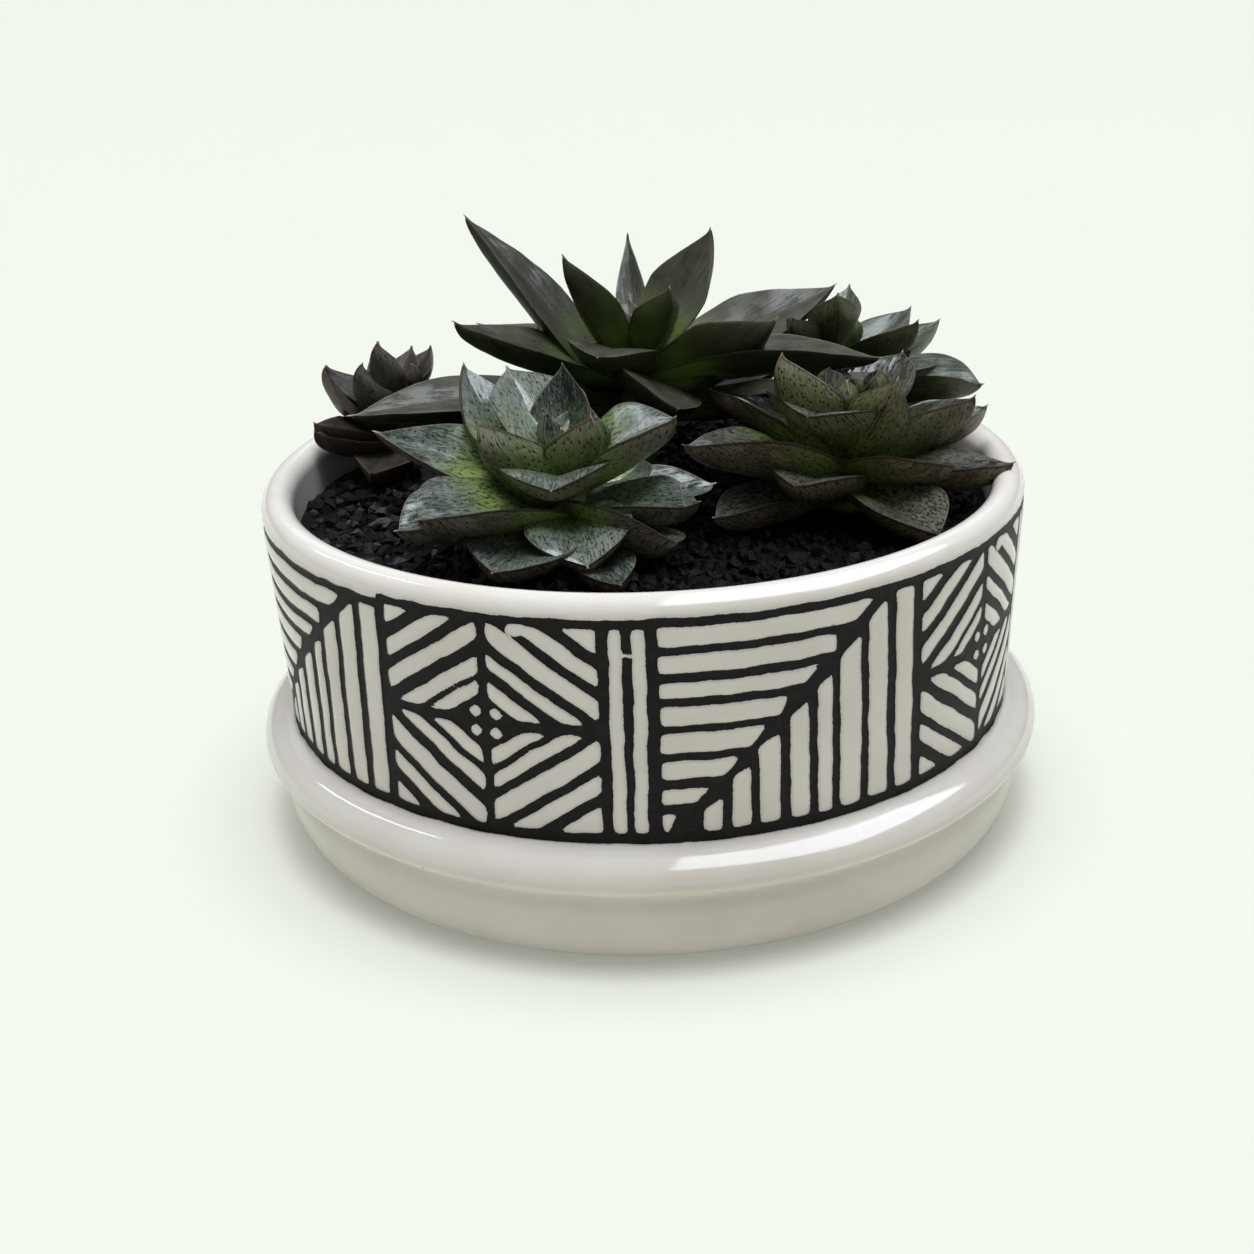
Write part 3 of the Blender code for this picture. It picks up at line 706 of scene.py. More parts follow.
def diamond_bars():
    """Slanted bars in four quarters round a cross, as nested diamonds"""
    middle = 16.1
    half_width = 15.15
    cross_half = 0.6
    level_half = 1.25
    # Side, up or down, slope, and each bar's edges as heights where they would meet the middle line
    quarters = (
        (-1, 1, 0.70, ((7.9, 11.6), (13.4, 17.9), (21.7, 26.5), (29.8, 34.3), (38.0, 60.0))),
        (1, 1, 0.75, ((7.2, 11.5), (14.9, 18.6), (21.8, 27.2), (30.2, 34.8), (38.6, 60.0))),
        (-1, -1, 0.77, ((8.0, 12.2), (14.8, 19.4), (23.4, 29.4), (32.3, 37.2), (41.2, 60.0))),
        (1, -1, 0.73, ((7.9, 12.0), (14.1, 18.0), (20.9, 26.8), (29.9, 35.0), (38.3, 60.0))),
    )
    bars = []
    for side, up, slope, edges in quarters:
        reach = (BAR_TOP - BAND_MIDDLE) if up > 0 else (BAND_MIDDLE - BAR_BOTTOM)
        for low, high in edges:
            bars.append(quarter_bar(middle, side, up, slope, low, high,
                                    (cross_half, half_width), (level_half, reach)))
        bars.append(lozenge(middle + side * 1.4, BAND_MIDDLE + up * 2.5, 1.1, 1.9))
    bars.append(Bar((19.2, 84.2), (20.6, 82.6), (23.0, 84.6), (22.0, 86.4), (19.8, 86.2)))
    return bars


def quarter_bar(middle, side, up, slope, low, high, angles, heights):
    """One slanted bar, clipped to its quarter of the diamond panel"""
    inner, outer = (middle + side * angle for angle in angles)
    near, far = (BAND_MIDDLE + up * height for height in heights)
    bar = straight_bar(inner, outer, near, far)
    outward = Vector((side * slope, up))
    length = outward.length
    center = outward.dot(Vector((middle * MM_PER_DEGREE, BAND_MIDDLE)))
    bar.edges.append((outward / length, (center + low) / length))
    bar.edges.append((-outward / length, -(center + high) / length))
    return bar


def stripe_bars():
    """Two upright bars, joined by a thin slip of the brush"""
    return [
        Bar((1.0, BAR_BOTTOM), (2.75, BAR_BOTTOM), (2.75, BAR_TOP), (1.15, BAR_TOP)),
        Bar((3.8, BAR_BOTTOM), (5.55, BAR_BOTTOM), (5.75, BAR_TOP), (4.1, BAR_TOP)),
        straight_bar(2.2, 4.6, 79.1, 80.2),
    ]


def band_panels():
    """The panels in order round the bowl: start, scale of their angles, drop and bars"""
    kinds = ((CHEVRON_WIDTH, chevron_bars()), (DIAMOND_WIDTH, diamond_bars()),
             (STRIPES_WIDTH, stripe_bars()))
    period = CHEVRON_WIDTH + DIAMOND_WIDTH + STRIPES_WIDTH
    back_scale = (360.0 - FRONT_PERIODS * period) / (BACK_PERIODS * period)
    panels = []
    start = FIRST_CHEVRON
    for number in range(FRONT_PERIODS + BACK_PERIODS):
        scale = 1.0 if number < FRONT_PERIODS else back_scale
        for width, bars in kinds:
            drop = LEFT_DROP if start == FIRST_CHEVRON else 0.0
            panels.append((start, start + width * scale, scale, drop, bars))
            start += width * scale
    return panels


def paint_depth(panels, place):
    """How deep in white a point of the wall is in millimetres; the black lines are below 0"""
    height = place.z / MM
    if height < BAND_FOOT_HEIGHT / MM + 1.0:
        height -= max(0.0, math.hypot(place.x, place.y) - BAND_FOOT_RADIUS) / MM
    if not BAND_BOTTOM - DEEP < height < BAND_TOP + 4:
        return DEEP
    slow, quick = (noise.noise_vector(place / (length * MM)) * reach for length, reach in WANDERS)
    angle = math.degrees(math.atan2(place.x, -place.y))
    angle -= FLARE * math.sin(math.radians(angle)) * (BAR_TOP - height) / (BAR_TOP - BAR_BOTTOM)
    angle += (slow.x + quick.x) / MM_PER_DEGREE
    height += slow.y + quick.y
    if angle < FIRST_CHEVRON:
        angle += 360.0
    for start, end, scale, drop, bars in panels:
        if start <= angle < end:
            break
    height += drop * smooth_step(DROP_FROM, DROP_TO, height)
    point = Vector(((angle - start) / scale * MM_PER_DEGREE, height))
    edges = max(height - BAND_TOP, BAND_BOTTOM - height)
    return min(DEEP, max(edges, max(bar.depth(point) for bar in bars)))


def make_bowl(settings):
    """Turn the section, then raise the white bars out of the black lines"""
    bm = bmesh.new()
    verts = [bm.verts.new((radius, 0.0, height))
             for radius, height in bowl_profile(settings.band_rows)]
    edges = [bm.edges.new(pair) for pair in zip(verts, verts[1:] + verts[:1])]
    sector = math.tau / SECTORS
    turn = {"cent": (0, 0, 0), "axis": (0, 0, 1), "dvec": (0, 0, 0)}
    bmesh.ops.spin(bm, geom=verts + edges, angle=sector, steps=settings.sides // SECTORS, **turn)
    bmesh.ops.spin(bm, geom=bm.verts[:] + bm.edges[:] + bm.faces[:], angle=math.tau - sector,
                   steps=SECTORS - 1, use_duplicate=True, **turn)
    bmesh.ops.remove_doubles(bm, verts=bm.verts, dist=MERGE_DISTANCE)
    bmesh.ops.recalc_face_normals(bm, faces=bm.faces)
    panels = band_panels()
    noise.seed_set(settings.seed)
    paint = bm.verts.layers.float.new("paint")
    for vert in bm.verts:
        radius = math.hypot(vert.co.x, vert.co.y)
        outer = radius > WALL_FOOT_RADIUS + 4 * MM
        depth = paint_depth(panels, vert.co) if outer else DEEP
        vert[paint] = depth
        if depth < DEEP:
            height = vert.co.z / MM
            fade = smooth_step(BAND_BOTTOM - 2, BAND_BOTTOM + 1, height)
            fade *= 1.0 - smooth_step(BAND_TOP - 1, BAND_TOP + 2, height)
            raised = smooth_step(-0.7, 1.3, depth) - 0.5
            vert.co += Vector((vert.co.x, vert.co.y, 0.0)) * (
                settings.bar_relief * raised * fade / radius)
    piece = new_piece("bowl", bm)
    piece.data.shade_smooth()
    piece.data.set_sharp_from_angle(angle=math.radians(BOWL_CREASE))
    piece.data.materials.append(glaze_material(settings))
    return piece


def glaze_material(settings):
    """White glaze with fine specks, and matt black paint between the band's bars"""
    shader = Shader("painted_glaze")
    place = shader.object_place()
    ragged = shader.noise(place, 1400.0, 3.0) - 0.5
    depth = shader.attribute("paint", "Fac") + 0.35 * ragged
    white = shader.smooth(depth, -0.07, 0.07)
    cloud = shader.noise(place, 28.0, 4.0, 0.6)
    glaze = tuple(settings.glaze_color)
    shade = tuple(channel * tint for channel, tint in zip(glaze, GLAZE_CLOUD))
    body = shader.blend(shader.smooth(cloud, 0.35, 0.75), glaze, shade)
    pools = shader.fade(depth, 0.0, 0.9)
    body = shader.blend(pools * 0.55, body, scaled(glaze, 0.72))
    speck, chance = shader.cells(place, 95.0)
    specks = shader.fade(speck, 0.03, 0.055) * shader.smooth(chance, 0.80, 0.84)
    body = shader.blend(specks * 0.75, body, SPECK_COLOR)
    grain = shader.noise(place, 420.0, 3.0)
    paint = tuple(settings.paint_color)
    black = shader.blend(shader.smooth(grain, 0.35, 0.75), paint, scaled(paint, 2.1))
    edge = shader.smooth(depth, -0.25, 0.55)
    swell = shader.noise(place, 55.0, 2.0)
    normal = shader.bump(edge * 0.9 + swell * 0.8 + grain * (1.0 - white) * 0.22, 0.22 * MM)
    matt = shader.node("ShaderNodeBsdfPrincipled", None, {
        "Base Color": black, "Roughness": 0.55, "Specular IOR Level": 0.16, "Normal": normal})
    shader.finish(Base_Color=body, Roughness=0.07 + 0.05 * cloud, IOR=1.52, Normal=normal)
    glossy = Value(shader, shader.surface.outputs["BSDF"])
    mixed = shader.node("ShaderNodeMixShader", None, {0: white, 1: matt, 2: glossy})
    shader.feed(shader.tree.nodes["Material Output"].inputs["Surface"], mixed)
    return shader.material


def mix_material():
    """Dark crumbly potting mix"""
    shader = Shader("potting_mix_crumb")
    place = shader.object_place()
    crumbs = shader.cells(place, 420.0)[0]
    cloud = shader.noise(place, 190.0, 5.0, 0.65)
    color = shader.blend(shader.smooth(cloud, 0.3, 0.7), *MIX_COLORS)
    return shader.finish(Base_Color=color, Roughness=0.95,
                         Normal=shader.bump(crumbs + cloud, 1.2 * MM))


def gravel_material():
    """Black lava: near-black grains with a few greyer ones, darkened right of the middle as painted
    shade under the plants
    """
    shader = Shader("black_lava")
    place = shader.object_place()
    shade = shader.attribute("shade", "Fac")
    pores = shader.cells(place, 1500.0)[0]
    grit = shader.noise(place, 900.0, 4.0, 0.6)
    color = shader.node("ShaderNodeValToRGB", {"stops": LAVA_COLORS}, {0: shade})
    color = shader.blend(shader.smooth(grit, 0.45, 0.8) * 0.5, color, LAVA_GRIT)
    # Painted shade: the lava turns near-black right of the middle, where the plants shade it
    painted_shade = shader.smooth(shader.parts(place)[0], -PAINTED_SHADE_REACH, PAINTED_SHADE_REACH)
    color = shader.blend(painted_shade * 0.9, color, PAINTED_SHADE_LAVA)
    roughness = 0.45 + 0.35 * grit
    height = pores * 0.6 + grit
    return shader.finish(Base_Color=color, Roughness=roughness, Specular_IOR_Level=0.07,
                         Normal=shader.bump(height, 0.45 * MM))


def grain_shape(draw):
    """An angular grain of unit size, as the hull round random points"""
    bm = bmesh.new()
    for _ in range(GRAIN_POINTS):
        point = Vector([draw.gauss(0, 1) for _ in range(3)]).normalized()
        bm.verts.new(point * draw.uniform(0.82, 1.12))
    hull = bmesh.ops.convex_hull(bm, input=bm.verts)
    loose = [item for item in hull["geom_interior"] if isinstance(item, bmesh.types.BMVert)]
    bmesh.ops.delete(bm, geom=loose, context="VERTS")
    bmesh.ops.recalc_face_normals(bm, faces=bm.faces)
    bm.verts.layers.float.new("shade")
    return new_mesh("grain", bm)


def clear_of_stems(x, y, radius):
    """True where a grain of that radius misses every stem"""
    return all(math.hypot(x - rosette.x * MM, y - rosette.y * MM)
               > rosette.stem_radius * MM + 0.6 * radius for rosette in ROSETTES)


def append_mesh(bm, mesh):
    """Add a mesh to a bmesh and return its new vertices"""
    known = len(bm.verts)
    bm.from_mesh(mesh)
    bm.verts.ensure_lookup_table()
    return bm.verts[known:]


def grain_places(settings, draw):
    """Places on a triangular grid, shaken, in a bed and with some loose grains on top"""
    rows = int(GRAVEL_RADIUS / (settings.spacing * ROW_STEP)) + 1
    for row in range(-rows, rows + 1):
        for column in range(-rows - 6, rows + 7):
            x = (column + 0.5 * (row % 2) + draw.uniform(-0.4, 0.4)) * settings.spacing
            y = (row + draw.uniform(-0.4, 0.4)) * settings.spacing * ROW_STEP
            radius = settings.smallest + (settings.largest - settings.smallest) * draw.random() ** 2
            layers = 2 if draw.random() < settings.loose_share else 1
            for layer in range(layers):
                inside = math.hypot(x, y) + radius * 1.05 < GRAVEL_RADIUS
                if inside and clear_of_stems(x, y, radius):
                    lift = draw.uniform(-0.7, 0.5) * MM + layer * 1.3 * MM
                    yield Vector((x, y, GRAVEL_BED + lift)), radius
                x += draw.uniform(-0.5, 0.5) * settings.spacing


def lay_grains(shapes, places, draw):
    """A mesh of grains at the given places, each turned, tilted and stretched"""
    bm = bmesh.new()
    for place, radius in places:
        grain = append_mesh(bm, draw.choice(shapes))
        shade = bm.verts.layers.float["shade"]
        stretch = Matrix.Diagonal((draw.uniform(0.8, 1.25), draw.uniform(0.75, 1.1),
                                   draw.uniform(0.6, 0.95), 1.0))
        turn = Matrix.Rotation(draw.uniform(0, math.tau), 4, "Z")
        tilt = Matrix.Rotation(draw.uniform(-0.5, 0.5), 4, "X")
        shape = Matrix.Translation(place) @ turn @ tilt @ stretch @ Matrix.Scale(radius, 4)
        tone = draw.random()
        for vert in grain:
            vert[shade] = tone
            vert.co = shape @ vert.co
            vert.co.z = min(vert.co.z, GRAVEL_HIGH.z + 1.6 * MM)
    return new_mesh("handful", bm)


def make_gravel(settings):
    """A rough bed in the bowl, covered with angular grains"""
    draw = random.Random(settings.seed)
    bm = bmesh.new()
    bm.verts.layers.float.new("shade")
    profile = [(0.0, GRAVEL_BED)]
    profile += straight_run(profile[0], (GRAVEL_RADIUS, GRAVEL_BED), BED_RINGS)
    profile += [(GRAVEL_RADIUS, GRAVEL_BED), (GRAVEL_RADIUS, GRAVEL_LOW.z), (0.0, GRAVEL_LOW.z)]
    verts = [bm.verts.new((radius, 0.0, height)) for radius, height in profile]
    edges = [bm.edges.new(pair) for pair in zip(verts, verts[1:])]
    bmesh.ops.spin(bm, geom=verts + edges, cent=(0, 0, 0), axis=(0, 0, 1), dvec=(0, 0, 0),
                   angle=math.tau, steps=BED_SIDES, use_merge=True)
    bmesh.ops.remove_doubles(bm, verts=bm.verts, dist=MERGE_DISTANCE)
    bmesh.ops.recalc_face_normals(bm, faces=bm.faces)
    for vert in bm.verts:
        if vert.co.z > GRAVEL_BED - 0.1 * MM:
            vert.co.z += noise.noise(vert.co / (2.2 * MM)) * 0.7 * MM
    shapes = [grain_shape(draw) for _ in range(GRAIN_SHAPES)]
    places = list(grain_places(settings, draw))
    for start in range(0, len(places), HANDFUL):
        handful = lay_grains(shapes, places[start:start + HANDFUL], draw)
        append_mesh(bm, handful)
        bpy.data.meshes.remove(handful)
    for shape in shapes:
        bpy.data.meshes.remove(shape)
    piece = new_piece("gravel", bm)
    piece.data.materials.append(gravel_material())
    return piece


def half_width_share(form, t):
    """The leaf's half width at t along it, as a share of its greatest half width"""
    if t < form.widest:
        return form.root + (1 - form.root) * math.sin(math.pi / 2 * t / form.widest)
    u = (t - form.widest) / (1 - form.widest)
    return (1 - u ** form.bluntness) * (1 - 0.25 * u)


def thickness_share(t):
    """The leaf's thickness at t along it, as a share of its form's thickness"""
    swell = 0.6 + 0.4 * math.sin(math.pi / 2 * min(t / 0.45, 1))
    return swell * (1 - 0.75 * t ** 9)


def leaf_frame(rosette, leaf, t):
    """The point on the leaf's spine at t, with the directions across it and out of its face"""
    turn = math.radians(leaf.azimuth)
    out = Vector((math.sin(turn), -math.cos(turn), 0.0))
    level_side = Vector((math.cos(turn), math.sin(turn), 0.0))
    up = Vector((0.0, 0.0, 1.0))
    root = min(LEAF_ROOT_RADIUS, LEAF_ROOT_SHARE * leaf.width)
    point = Vector((rosette.x, rosette.y, leaf.height)) * MM + out * root * MM
    stride = leaf.length * MM * t / SPINE_STEPS
    for step in range(SPINE_STEPS):
        middle = t * (step + 0.5) / SPINE_STEPS
        slope = math.radians(leaf.rise + leaf.curl * (middle - 0.5))
        point += (out * math.cos(slope) + up * math.sin(slope)) * stride
    slope = math.radians(leaf.rise + leaf.curl * (t - 0.5))
    roll = math.radians(leaf.roll)
    level_face = up * math.cos(slope) - out * math.sin(slope)
    side = level_side * math.cos(roll) + level_face * math.sin(roll)
    face = level_face * math.cos(roll) - level_side * math.sin(roll)
    return point, side, face


def heart_leaves(rosette):
    """The youngest leaves, nearly upright, set round the top of the stem at the golden angle"""
    rows = []
    for order in range(HEART_LEAVES):
        length = 2 * rosette.stem_radius * (1.15 - 0.13 * order)
        rows.append(Leaf(GOLDEN_ANGLE * (order + 0.6), rosette.heart_height - 3, 60 + 6 * order,
                         length, 0.6 * length, 14, 0, rosette.leaves[-1].form))
    return rows


def valley(share):
    """The height of a leaf's face across it, from 0 in its channel to 1 at its margins"""
    return ((math.hypot(share, VALLEY_SOFTNESS) - VALLEY_SOFTNESS)
            / (math.hypot(1.0, VALLEY_SOFTNESS) - VALLEY_SOFTNESS))


def leaf_section(leaf, t, angle, fleshiness):
    """A point of the leaf's section at t

    Its place across the leaf and out of its face, its share under the leaf, its distance from
    the margin over the skin, and its place across the unrolled skin.
    """
    form = leaf.form
    blade_t = min(t / SPUR_START, 1.0)
    left = max(0.0, min(1.0, (1.0 - t) / (1.0 - SPUR_START)))
    spur = SPUR_RADIUS * math.sqrt(left)
    half = math.hypot(leaf.width / 2 * half_width_share(form, blade_t), spur)
    keel = form.thickness * fleshiness * thickness_share(blade_t)
    keel = max(keel * smooth_step(0.3, 1.0, left) if left < 1.0 else keel, spur)
    share = math.cos(angle)
    height = form.fold * half * valley(share)
    flank = math.sin(math.pi * abs(share)) * min(0.05 * half, 0.5)
    margin = (1.0 - abs(share)) * half
    girth = half
    if math.sin(angle) >= 0.0:
        height += flank
        under = 0.0
    else:
        ridge = RIDGE_HEIGHT * math.exp(-(share / RIDGE_WIDTH) ** 2) * (1.0 - t)
        drop = keel * (1.0 - abs(share) ** FLANK_POWER) ** KEEL_POWER
        height -= drop + ridge
        margin += drop
        girth += keel
        under = 1.0
    if abs(share) >= MARGIN_SHARE:
        under = 0.5
    unrolled = math.copysign(girth - margin, share)
    return half * share, height, under, margin, unrolled


def leaf_blank(settings):
    """A ball with the rings and columns that each leaf is drawn out of"""
    bm = bmesh.new()
    bmesh.ops.create_uvsphere(bm, u_segments=settings.section_points,
                              v_segments=settings.stations, radius=1.0)
    for name in LEAF_LAYERS:
        bm.verts.layers.float_vector.new(name)
    return new_mesh("leaf_blank", bm)


def add_leaf(bm, blank, rosette, leaf, number, settings):
    """A fleshy pointed blade: the blank's rings, drawn out along the leaf's spine"""
    verts = append_mesh(bm, blank)
    blade, skin, tone = (bm.verts.layers.float_vector[name] for name in LEAF_LAYERS)
    heart = Vector((rosette.x, rosette.y, rosette.heart_height - 4)) * MM
    drawn = random.Random(number * 7 + len(rosette.name)).random()
    # A listed tint below 0 is painted shade and one above 1 is painted sheen; otherwise the tint is
    # the leaf's drawn tone
    tint = LEAF_TONES_AND_PAINTED_LIGHT.get(rosette.name, {}).get(number, drawn)
    frames = {}
    for vert in verts:
        ring = round(math.acos(max(-1.0, min(1.0, vert.co.z))) / math.pi * settings.stations)
        angle = math.atan2(vert.co.y, vert.co.x)
        t = math.sin(math.pi / 2 * ring / settings.stations)
        if ring not in frames:
            frames[ring] = leaf_frame(rosette, leaf, t)
        point, side, face = frames[ring]
        pole = ring in (0, settings.stations)
        section = leaf_section(leaf, t, angle, settings.fleshiness)
        across, out, under, margin, unrolled = section
        if pole:
            across, out = 0.0, 0.0
        hook = HOOK_HEIGHT * smooth_step(0.9, 1.0, t) ** 2 * (not pole)
        place = point + (side * across + face * (out + hook)) * MM
        swell = noise.noise(place / (9.0 * MM)) + 0.4 * noise.noise(place / (3.5 * MM))
        calm = smooth_step(0.0, 0.1, 1.0 - t)
        vert.co = place + face * (settings.unevenness * swell * calm)
        vert.co.z -= PRESS * max(0.0, vert.co.z - PRESSED_ABOVE)
        vert[blade] = (t, abs(math.cos(angle)), under)
        vert[skin] = (t * leaf.length + LEAF_STRIDE[0] * number, unrolled,
                      number * LEAF_STRIDE[1] + UNDER_STRIDE * under)
        vert[tone] = (tint, (vert.co - heart).length / MM, margin)


def add_stem(bm, rosette):
    """A round stem that narrows to the pointed bud at the heart"""
    depth = rosette.heart_height - STEM_FOOT
    place = Matrix.Translation((rosette.x * MM, rosette.y * MM,
                                (STEM_FOOT + depth / 2) * MM))
    made = bmesh.ops.create_cone(
        bm, cap_ends=True, segments=STEM_SIDES, radius1=rosette.stem_radius * MM,
        radius2=rosette.stem_radius * STEM_TAPER * MM, depth=depth * MM, matrix=place)
    faces = {face for vert in made["verts"] for face in vert.link_faces}
    cap = max(faces, key=lambda face: face.calc_center_median().z)
    bud = bmesh.ops.poke(bm, faces=[cap])["verts"][0]
    bud.co.z += BUD_HEIGHT * MM
    blade = bm.verts.layers.float_vector["blade"]
    tone = bm.verts.layers.float_vector["tone"]
    for vert in made["verts"] + [bud]:
        vert[blade] = (0.0, 0.5, 1.0)
        vert[tone] = (0.5, 40.0, 5.0)


def make_rosette(rosette, settings):
    """A stem with all its leaves"""
    bm = bmesh.new()
    for name in LEAF_LAYERS:
        bm.verts.layers.float_vector.new(name)
    blank = leaf_blank(settings)
    for number, leaf in enumerate(list(rosette.leaves) + heart_leaves(rosette)):
        add_leaf(bm, blank, rosette, leaf, number, settings)
    bpy.data.meshes.remove(blank)
    add_stem(bm, rosette)
    bmesh.ops.recalc_face_normals(bm, faces=bm.faces)
    piece = new_piece(rosette.name + "_leaves", bm)
    piece.data.shade_smooth()
    piece.data.set_sharp_from_angle(angle=math.radians(LEAF_CREASE))
    piece.data.materials.append(leaf_material(rosette.slot))
    return piece


def leaf_material(slot):
    """Waxy skin: green at the heart, dusky outwards, streaked, flecked and lined at the margins,
    with painted highlights on its ridges, painted shade on some listed leaves and painted sheen on
    others
    """
    style = SKINS[slot]
    shader = Shader(slot + "_skin")
    along, across, under = shader.parts(shader.attribute("blade"))
    tint, heart, margin = shader.parts(shader.attribute("tone"))
    skin = shader.attribute("skin")

    # The skin's own shades, paler in streaks and clouds, and fresher beneath near the heart
    streaks = shader.noise(shader.stretched(skin, (0.12, 1.3, 1.0)), 1.0, 4.0, 0.6)
    mottle = shader.noise(shader.stretched(skin, (0.14, 0.20, 1.0)), 1.0, 4.0, 0.6)
    fine = shader.noise(shader.stretched(skin, (0.50, 2.2, 1.0)), 1.0, 2.0, 0.6)
    # The tint lifts or lowers the whole leaf; its listed values below 0 and above 1 are painted
    # shade and painted sheen
    light = shader.smooth(streaks * 0.45 + mottle * 0.65 + tint * 0.16, 0.47, 0.76)
    face_color = shader.blend(light, style.dusk, style.light)
    under_color = shader.blend(light, style.under, style.under_light)
    fresh = tuple(0.36 * lime + 0.20 * brown
                  for lime, brown in zip(style.green, style.under_light))
    under_color = shader.blend(shader.fade(heart, 14.0, 32.0) * (0.75 * style.greenness),
                               under_color, fresh)
    color = shader.blend(under, face_color, under_color)
    # Painted shade: leaves whose tint is below 0 are darkened towards the fleck colour
    pale = shader.smooth(tint, -1.0, 0.2)
    color = shader.blend((1.0 - pale) * 0.5, color, style.fleck)

    # Green from the leaf's root outwards, weaker on leaves darkened as painted shade and on leaves
    # paled as painted sheen
    young = shader.fade(heart, 8.0, 24.0)
    reach = along + (mottle - 0.5) * 0.25
    green = shader.fade(reach, style.reach * 0.4, style.reach) * (1.0 - 0.5 * young)
    painted_sheen = shader.smooth(tint, 1.05, 1.3)
    green = green * (0.3 + 0.7 * pale - 0.6 * painted_sheen) * style.greenness
    color = shader.blend(green, color, style.green)

    # Dark wrinkles, ridges painted paler as highlights where the bump rises, and dark flecks
    wrinkles = shader.fade(fine, 0.41, 0.48)
    furrows = wrinkles * style.wrinkling * (1.0 - 0.5 * under)
    color = shader.blend(furrows, color, style.fleck)
    # Painted highlight: the ridges of the bump are painted paler than the skin's light colour
    painted_ridge_highlights = shader.smooth(fine, 0.58, 0.68) * style.wrinkling
    color = shader.blend(painted_ridge_highlights * 0.5 * (1.0 - 0.8 * green), color, scaled(style.light, 1.6))
    spots, chance = shader.cells(shader.stretched(skin, (0.46, 0.58, 1.0)), 1.0, flat=True)
    dense = style.face_flecks + (style.under_flecks - style.face_flecks) * under
    chosen = shader.smooth(chance + dense, 0.96, 1.06)
    flecks = shader.fade(spots, 0.12, 0.21) * chosen
    color = shader.blend(flecks * 0.92, color, style.fleck)

    # The keel's dark line, the dark margin with its pale edge, and the point
    keel = shader.fade(across, 0.012, 0.04) * under * shader.smooth(along, 0.15, 0.4)
    color = shader.blend(keel * 0.6, color, style.fleck)
    outer = shader.smooth(along, 0.05, 0.25)
    line = shader.fade(margin, 0.7, 1.2) * outer
    color = shader.blend(line * (0.25 + 0.6 * under), color, style.margin)
    color = shader.blend(shader.fade(margin, 0.12, 0.40) * outer * 0.9, color, style.edge)
    color = shader.blend(shader.smooth(along, SPUR_START, 0.99), color, TIP_COLOR)

    roughness = style.roughness - 0.08 + 0.16 * mottle + 0.10 * fine
    height = streaks * 0.5 + fine * (0.25 + style.wrinkling) - flecks * 0.3
    wax = (1.0 - under) * shader.smooth(light, 0.05, 0.7)
    return shader.finish(Base_Color=color, Roughness=roughness, IOR=1.45, Specular_IOR_Level=0.16,
                         Coat_Weight=wax * style.wax, Coat_Roughness=0.18,
                         Normal=shader.bump(height, 0.42 * MM))


def make_floor(settings):
    """A wide plain floor"""
    bm = bmesh.new()
    bmesh.ops.create_grid(bm, x_segments=8, y_segments=8, size=FLOOR_REACH)
    floor = new_piece("floor", bm)
    shader = Shader("pale_floor")
    floor.data.materials.append(shader.finish(
        Base_Color=tuple(settings.floor_color), Roughness=0.9, Specular_IOR_Level=0.1,
        Emission_Color=tuple(settings.floor_glow), Emission_Strength=1.0))


def make_sky(settings):
    """Even pale light all round, brighter overhead"""
    world = bpy.data.worlds.new("studio")
    bpy.context.scene.world = world
    world.use_nodes = True
    nodes = world.node_tree.nodes
    links = world.node_tree.links
    background = nodes["Background"]
    background.inputs["Strength"].default_value = settings.sky_strength
    place = nodes.new("ShaderNodeTexCoord")
    height = nodes.new("ShaderNodeSeparateXYZ")
    ramp = nodes.new("ShaderNodeValToRGB")
    for element, (position, color) in zip(ramp.color_ramp.elements, SKY):
        element.position = position
        element.color = (*color, 1.0)
    links.new(place.outputs["Generated"], height.inputs[0])
    links.new(height.outputs["Z"], ramp.inputs[0])
    links.new(ramp.outputs[0], background.inputs["Color"])


def add_window(name, place, size, turn, brightness, strength):
    """A pane overhead that shines straight down and shows only in glossy surfaces"""
    data = bpy.data.lights.new(name, "AREA")
    data.shape = "RECTANGLE"
    data.size, data.size_y = size
    data.energy = strength * brightness * size[0] * size[1]
    data.color = WINDOW_COLOR
    light = new_object(name, data)
    light.location = place
    light.rotation_euler = (0.0, 0.0, math.radians(turn))
    light.visible_diffuse = False


def add_sun(name, direction, color, strength):
    """Parallel soft light, which keeps the floor even; the panes make the highlights"""
    data = bpy.data.lights.new(name, "SUN")
    data.angle = math.radians(SUN_ANGLE)
    data.energy = strength
    data.color = color
    light = new_object(name, data)
    light.rotation_euler = Vector(direction).to_track_quat("-Z", "Y").to_euler()
    light.visible_glossy = False


def make_camera(settings):
    """The camera looks down on the bowl from the front, turned slightly about its own axis"""
    yaw, pitch, roll = (math.radians(angle) for angle in (CAMERA_YAW, CAMERA_PITCH, CAMERA_ROLL))
    forward = Vector((math.sin(yaw) * math.cos(pitch), math.cos(yaw) * math.cos(pitch),
                      -math.sin(pitch)))
    level_right = Vector((math.cos(yaw), -math.sin(yaw), 0.0))
    level_down = forward.cross(level_right)
    right = level_right * math.cos(roll) + level_down * math.sin(roll)
    down = level_down * math.cos(roll) - level_right * math.sin(roll)
    data = bpy.data.cameras.new("camera")
    data.sensor_width = 36.0
    data.lens = settings.lens
    data.clip_start = 0.01
    data.clip_end = 50.0
    camera = new_object("camera", data)
    turn = Matrix((right, -down, -forward)).transposed().to_4x4()
    camera.matrix_world = Matrix.Translation(CAMERA_PLACE) @ turn
    bpy.context.scene.camera = camera


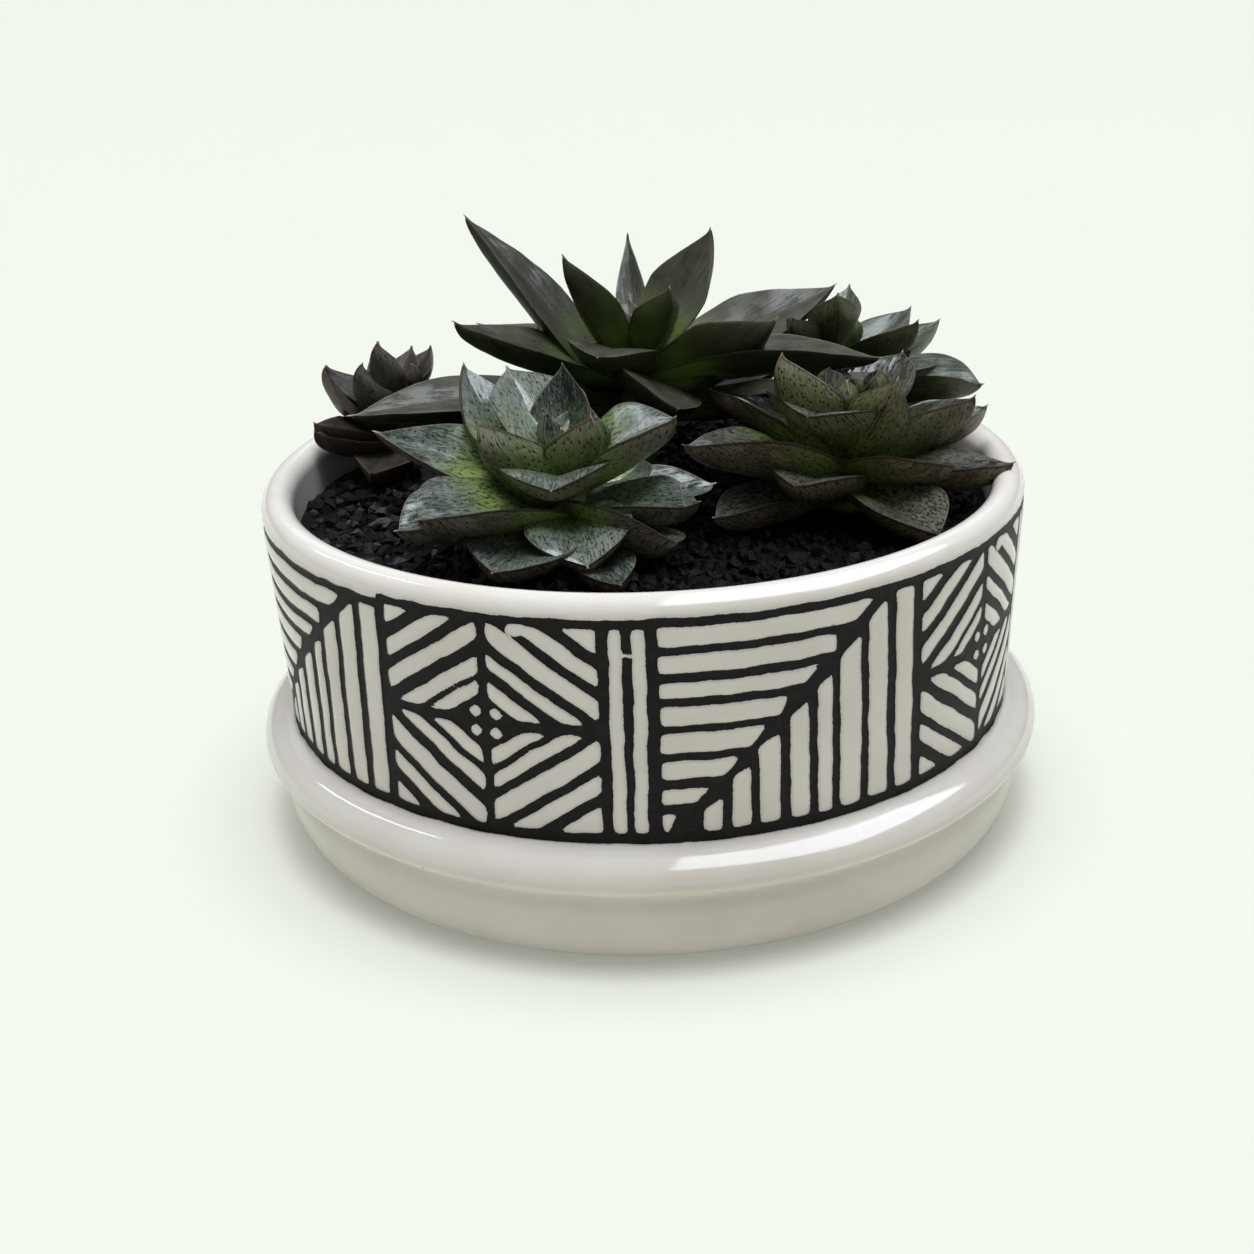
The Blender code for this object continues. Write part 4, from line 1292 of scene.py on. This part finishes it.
class ECHEVERIA_OT_bowl(bpy.types.Operator):
    """Make the glazed bowl with its painted band"""
    bl_idname = "echeveria.bowl"
    bl_label = "Glazed Bowl"

    def execute(self, context):
        bowl = make_bowl(context.scene.echeveria_bowl)
        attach(bowl, "root")
        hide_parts("pot")
        return {"FINISHED"}


class ECHEVERIA_OT_potting_mix(bpy.types.Operator):
    """Give the potting mix its crumbly finish"""
    bl_idname = "echeveria.potting_mix"
    bl_label = "Potting Mix"

    def execute(self, context):
        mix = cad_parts["potting_mix"]
        if not mix.material_slots:
            mix.data.materials.append(None)
        mix.material_slots[0].material = mix_material()
        return {"FINISHED"}


class ECHEVERIA_OT_gravel(bpy.types.Operator):
    """Cover the filling with lava grains"""
    bl_idname = "echeveria.gravel"
    bl_label = "Gravel"

    def execute(self, context):
        gravel = make_gravel(context.scene.echeveria_gravel)
        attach(gravel, "root")
        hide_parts("gravel_top")
        return {"FINISHED"}


class ECHEVERIA_OT_rosettes(bpy.types.Operator):
    """Grow the rosettes on their stems"""
    bl_idname = "echeveria.rosettes"
    bl_label = "Rosettes"

    def execute(self, context):
        for rosette in ROSETTES:
            piece = make_rosette(rosette, context.scene.echeveria_leaves)
            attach(piece, "root")
            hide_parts(rosette.name)
        return {"FINISHED"}


class ECHEVERIA_OT_stage(bpy.types.Operator):
    """Set up the floor, the light and the camera"""
    bl_idname = "echeveria.stage"
    bl_label = "Stage"

    def execute(self, context):
        settings = context.scene.echeveria_stage
        make_floor(settings)
        make_sky(settings)
        for sun, strength in zip(SUNS, (settings.right_strength, settings.left_strength)):
            add_sun(*sun, strength)
        for window in WINDOWS:
            add_window(*window, settings.window_power)
        make_camera(settings)
        context.scene.view_settings.view_transform = "Standard"
        return {"FINISHED"}


class ECHEVERIA_PT_sidebar(bpy.types.Panel):
    """Buttons and sizes of the planted bowl"""
    bl_idname = "ECHEVERIA_PT_sidebar"
    bl_label = "Echeveria Bowl"
    bl_space_type = "VIEW_3D"
    bl_region_type = "UI"
    bl_category = "Echeveria"

    def draw(self, context):
        for operator, group in SECTIONS:
            box = self.layout.box()
            box.operator(operator.bl_idname)
            if group:
                for name in group.__annotations__:
                    box.prop(getattr(context.scene, SETTINGS[group]), name)


# Each button of the panel, with the settings shown under it
SECTIONS = ((ECHEVERIA_OT_bowl, BowlSettings), (ECHEVERIA_OT_potting_mix, None),
            (ECHEVERIA_OT_gravel, GravelSettings), (ECHEVERIA_OT_rosettes, LeafSettings),
            (ECHEVERIA_OT_stage, StageSettings))
SETTINGS = {BowlSettings: "echeveria_bowl", LeafSettings: "echeveria_leaves",
            GravelSettings: "echeveria_gravel", StageSettings: "echeveria_stage"}
CLASSES = (*SETTINGS, *(operator for operator, group in SECTIONS), ECHEVERIA_PT_sidebar)


def register():
    for cls in CLASSES:
        bpy.utils.register_class(cls)
    for group, name in SETTINGS.items():
        setattr(bpy.types.Scene, name, PointerProperty(type=group))


def unregister():
    for name in SETTINGS.values():
        delattr(bpy.types.Scene, name)
    for cls in reversed(CLASSES):
        bpy.utils.unregister_class(cls)


def main():
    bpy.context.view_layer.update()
    register()
    bpy.ops.echeveria.bowl()
    bpy.ops.echeveria.potting_mix()
    bpy.ops.echeveria.gravel()
    bpy.ops.echeveria.rosettes()
    bpy.ops.echeveria.stage()


if __name__ == "__main__":
    main()
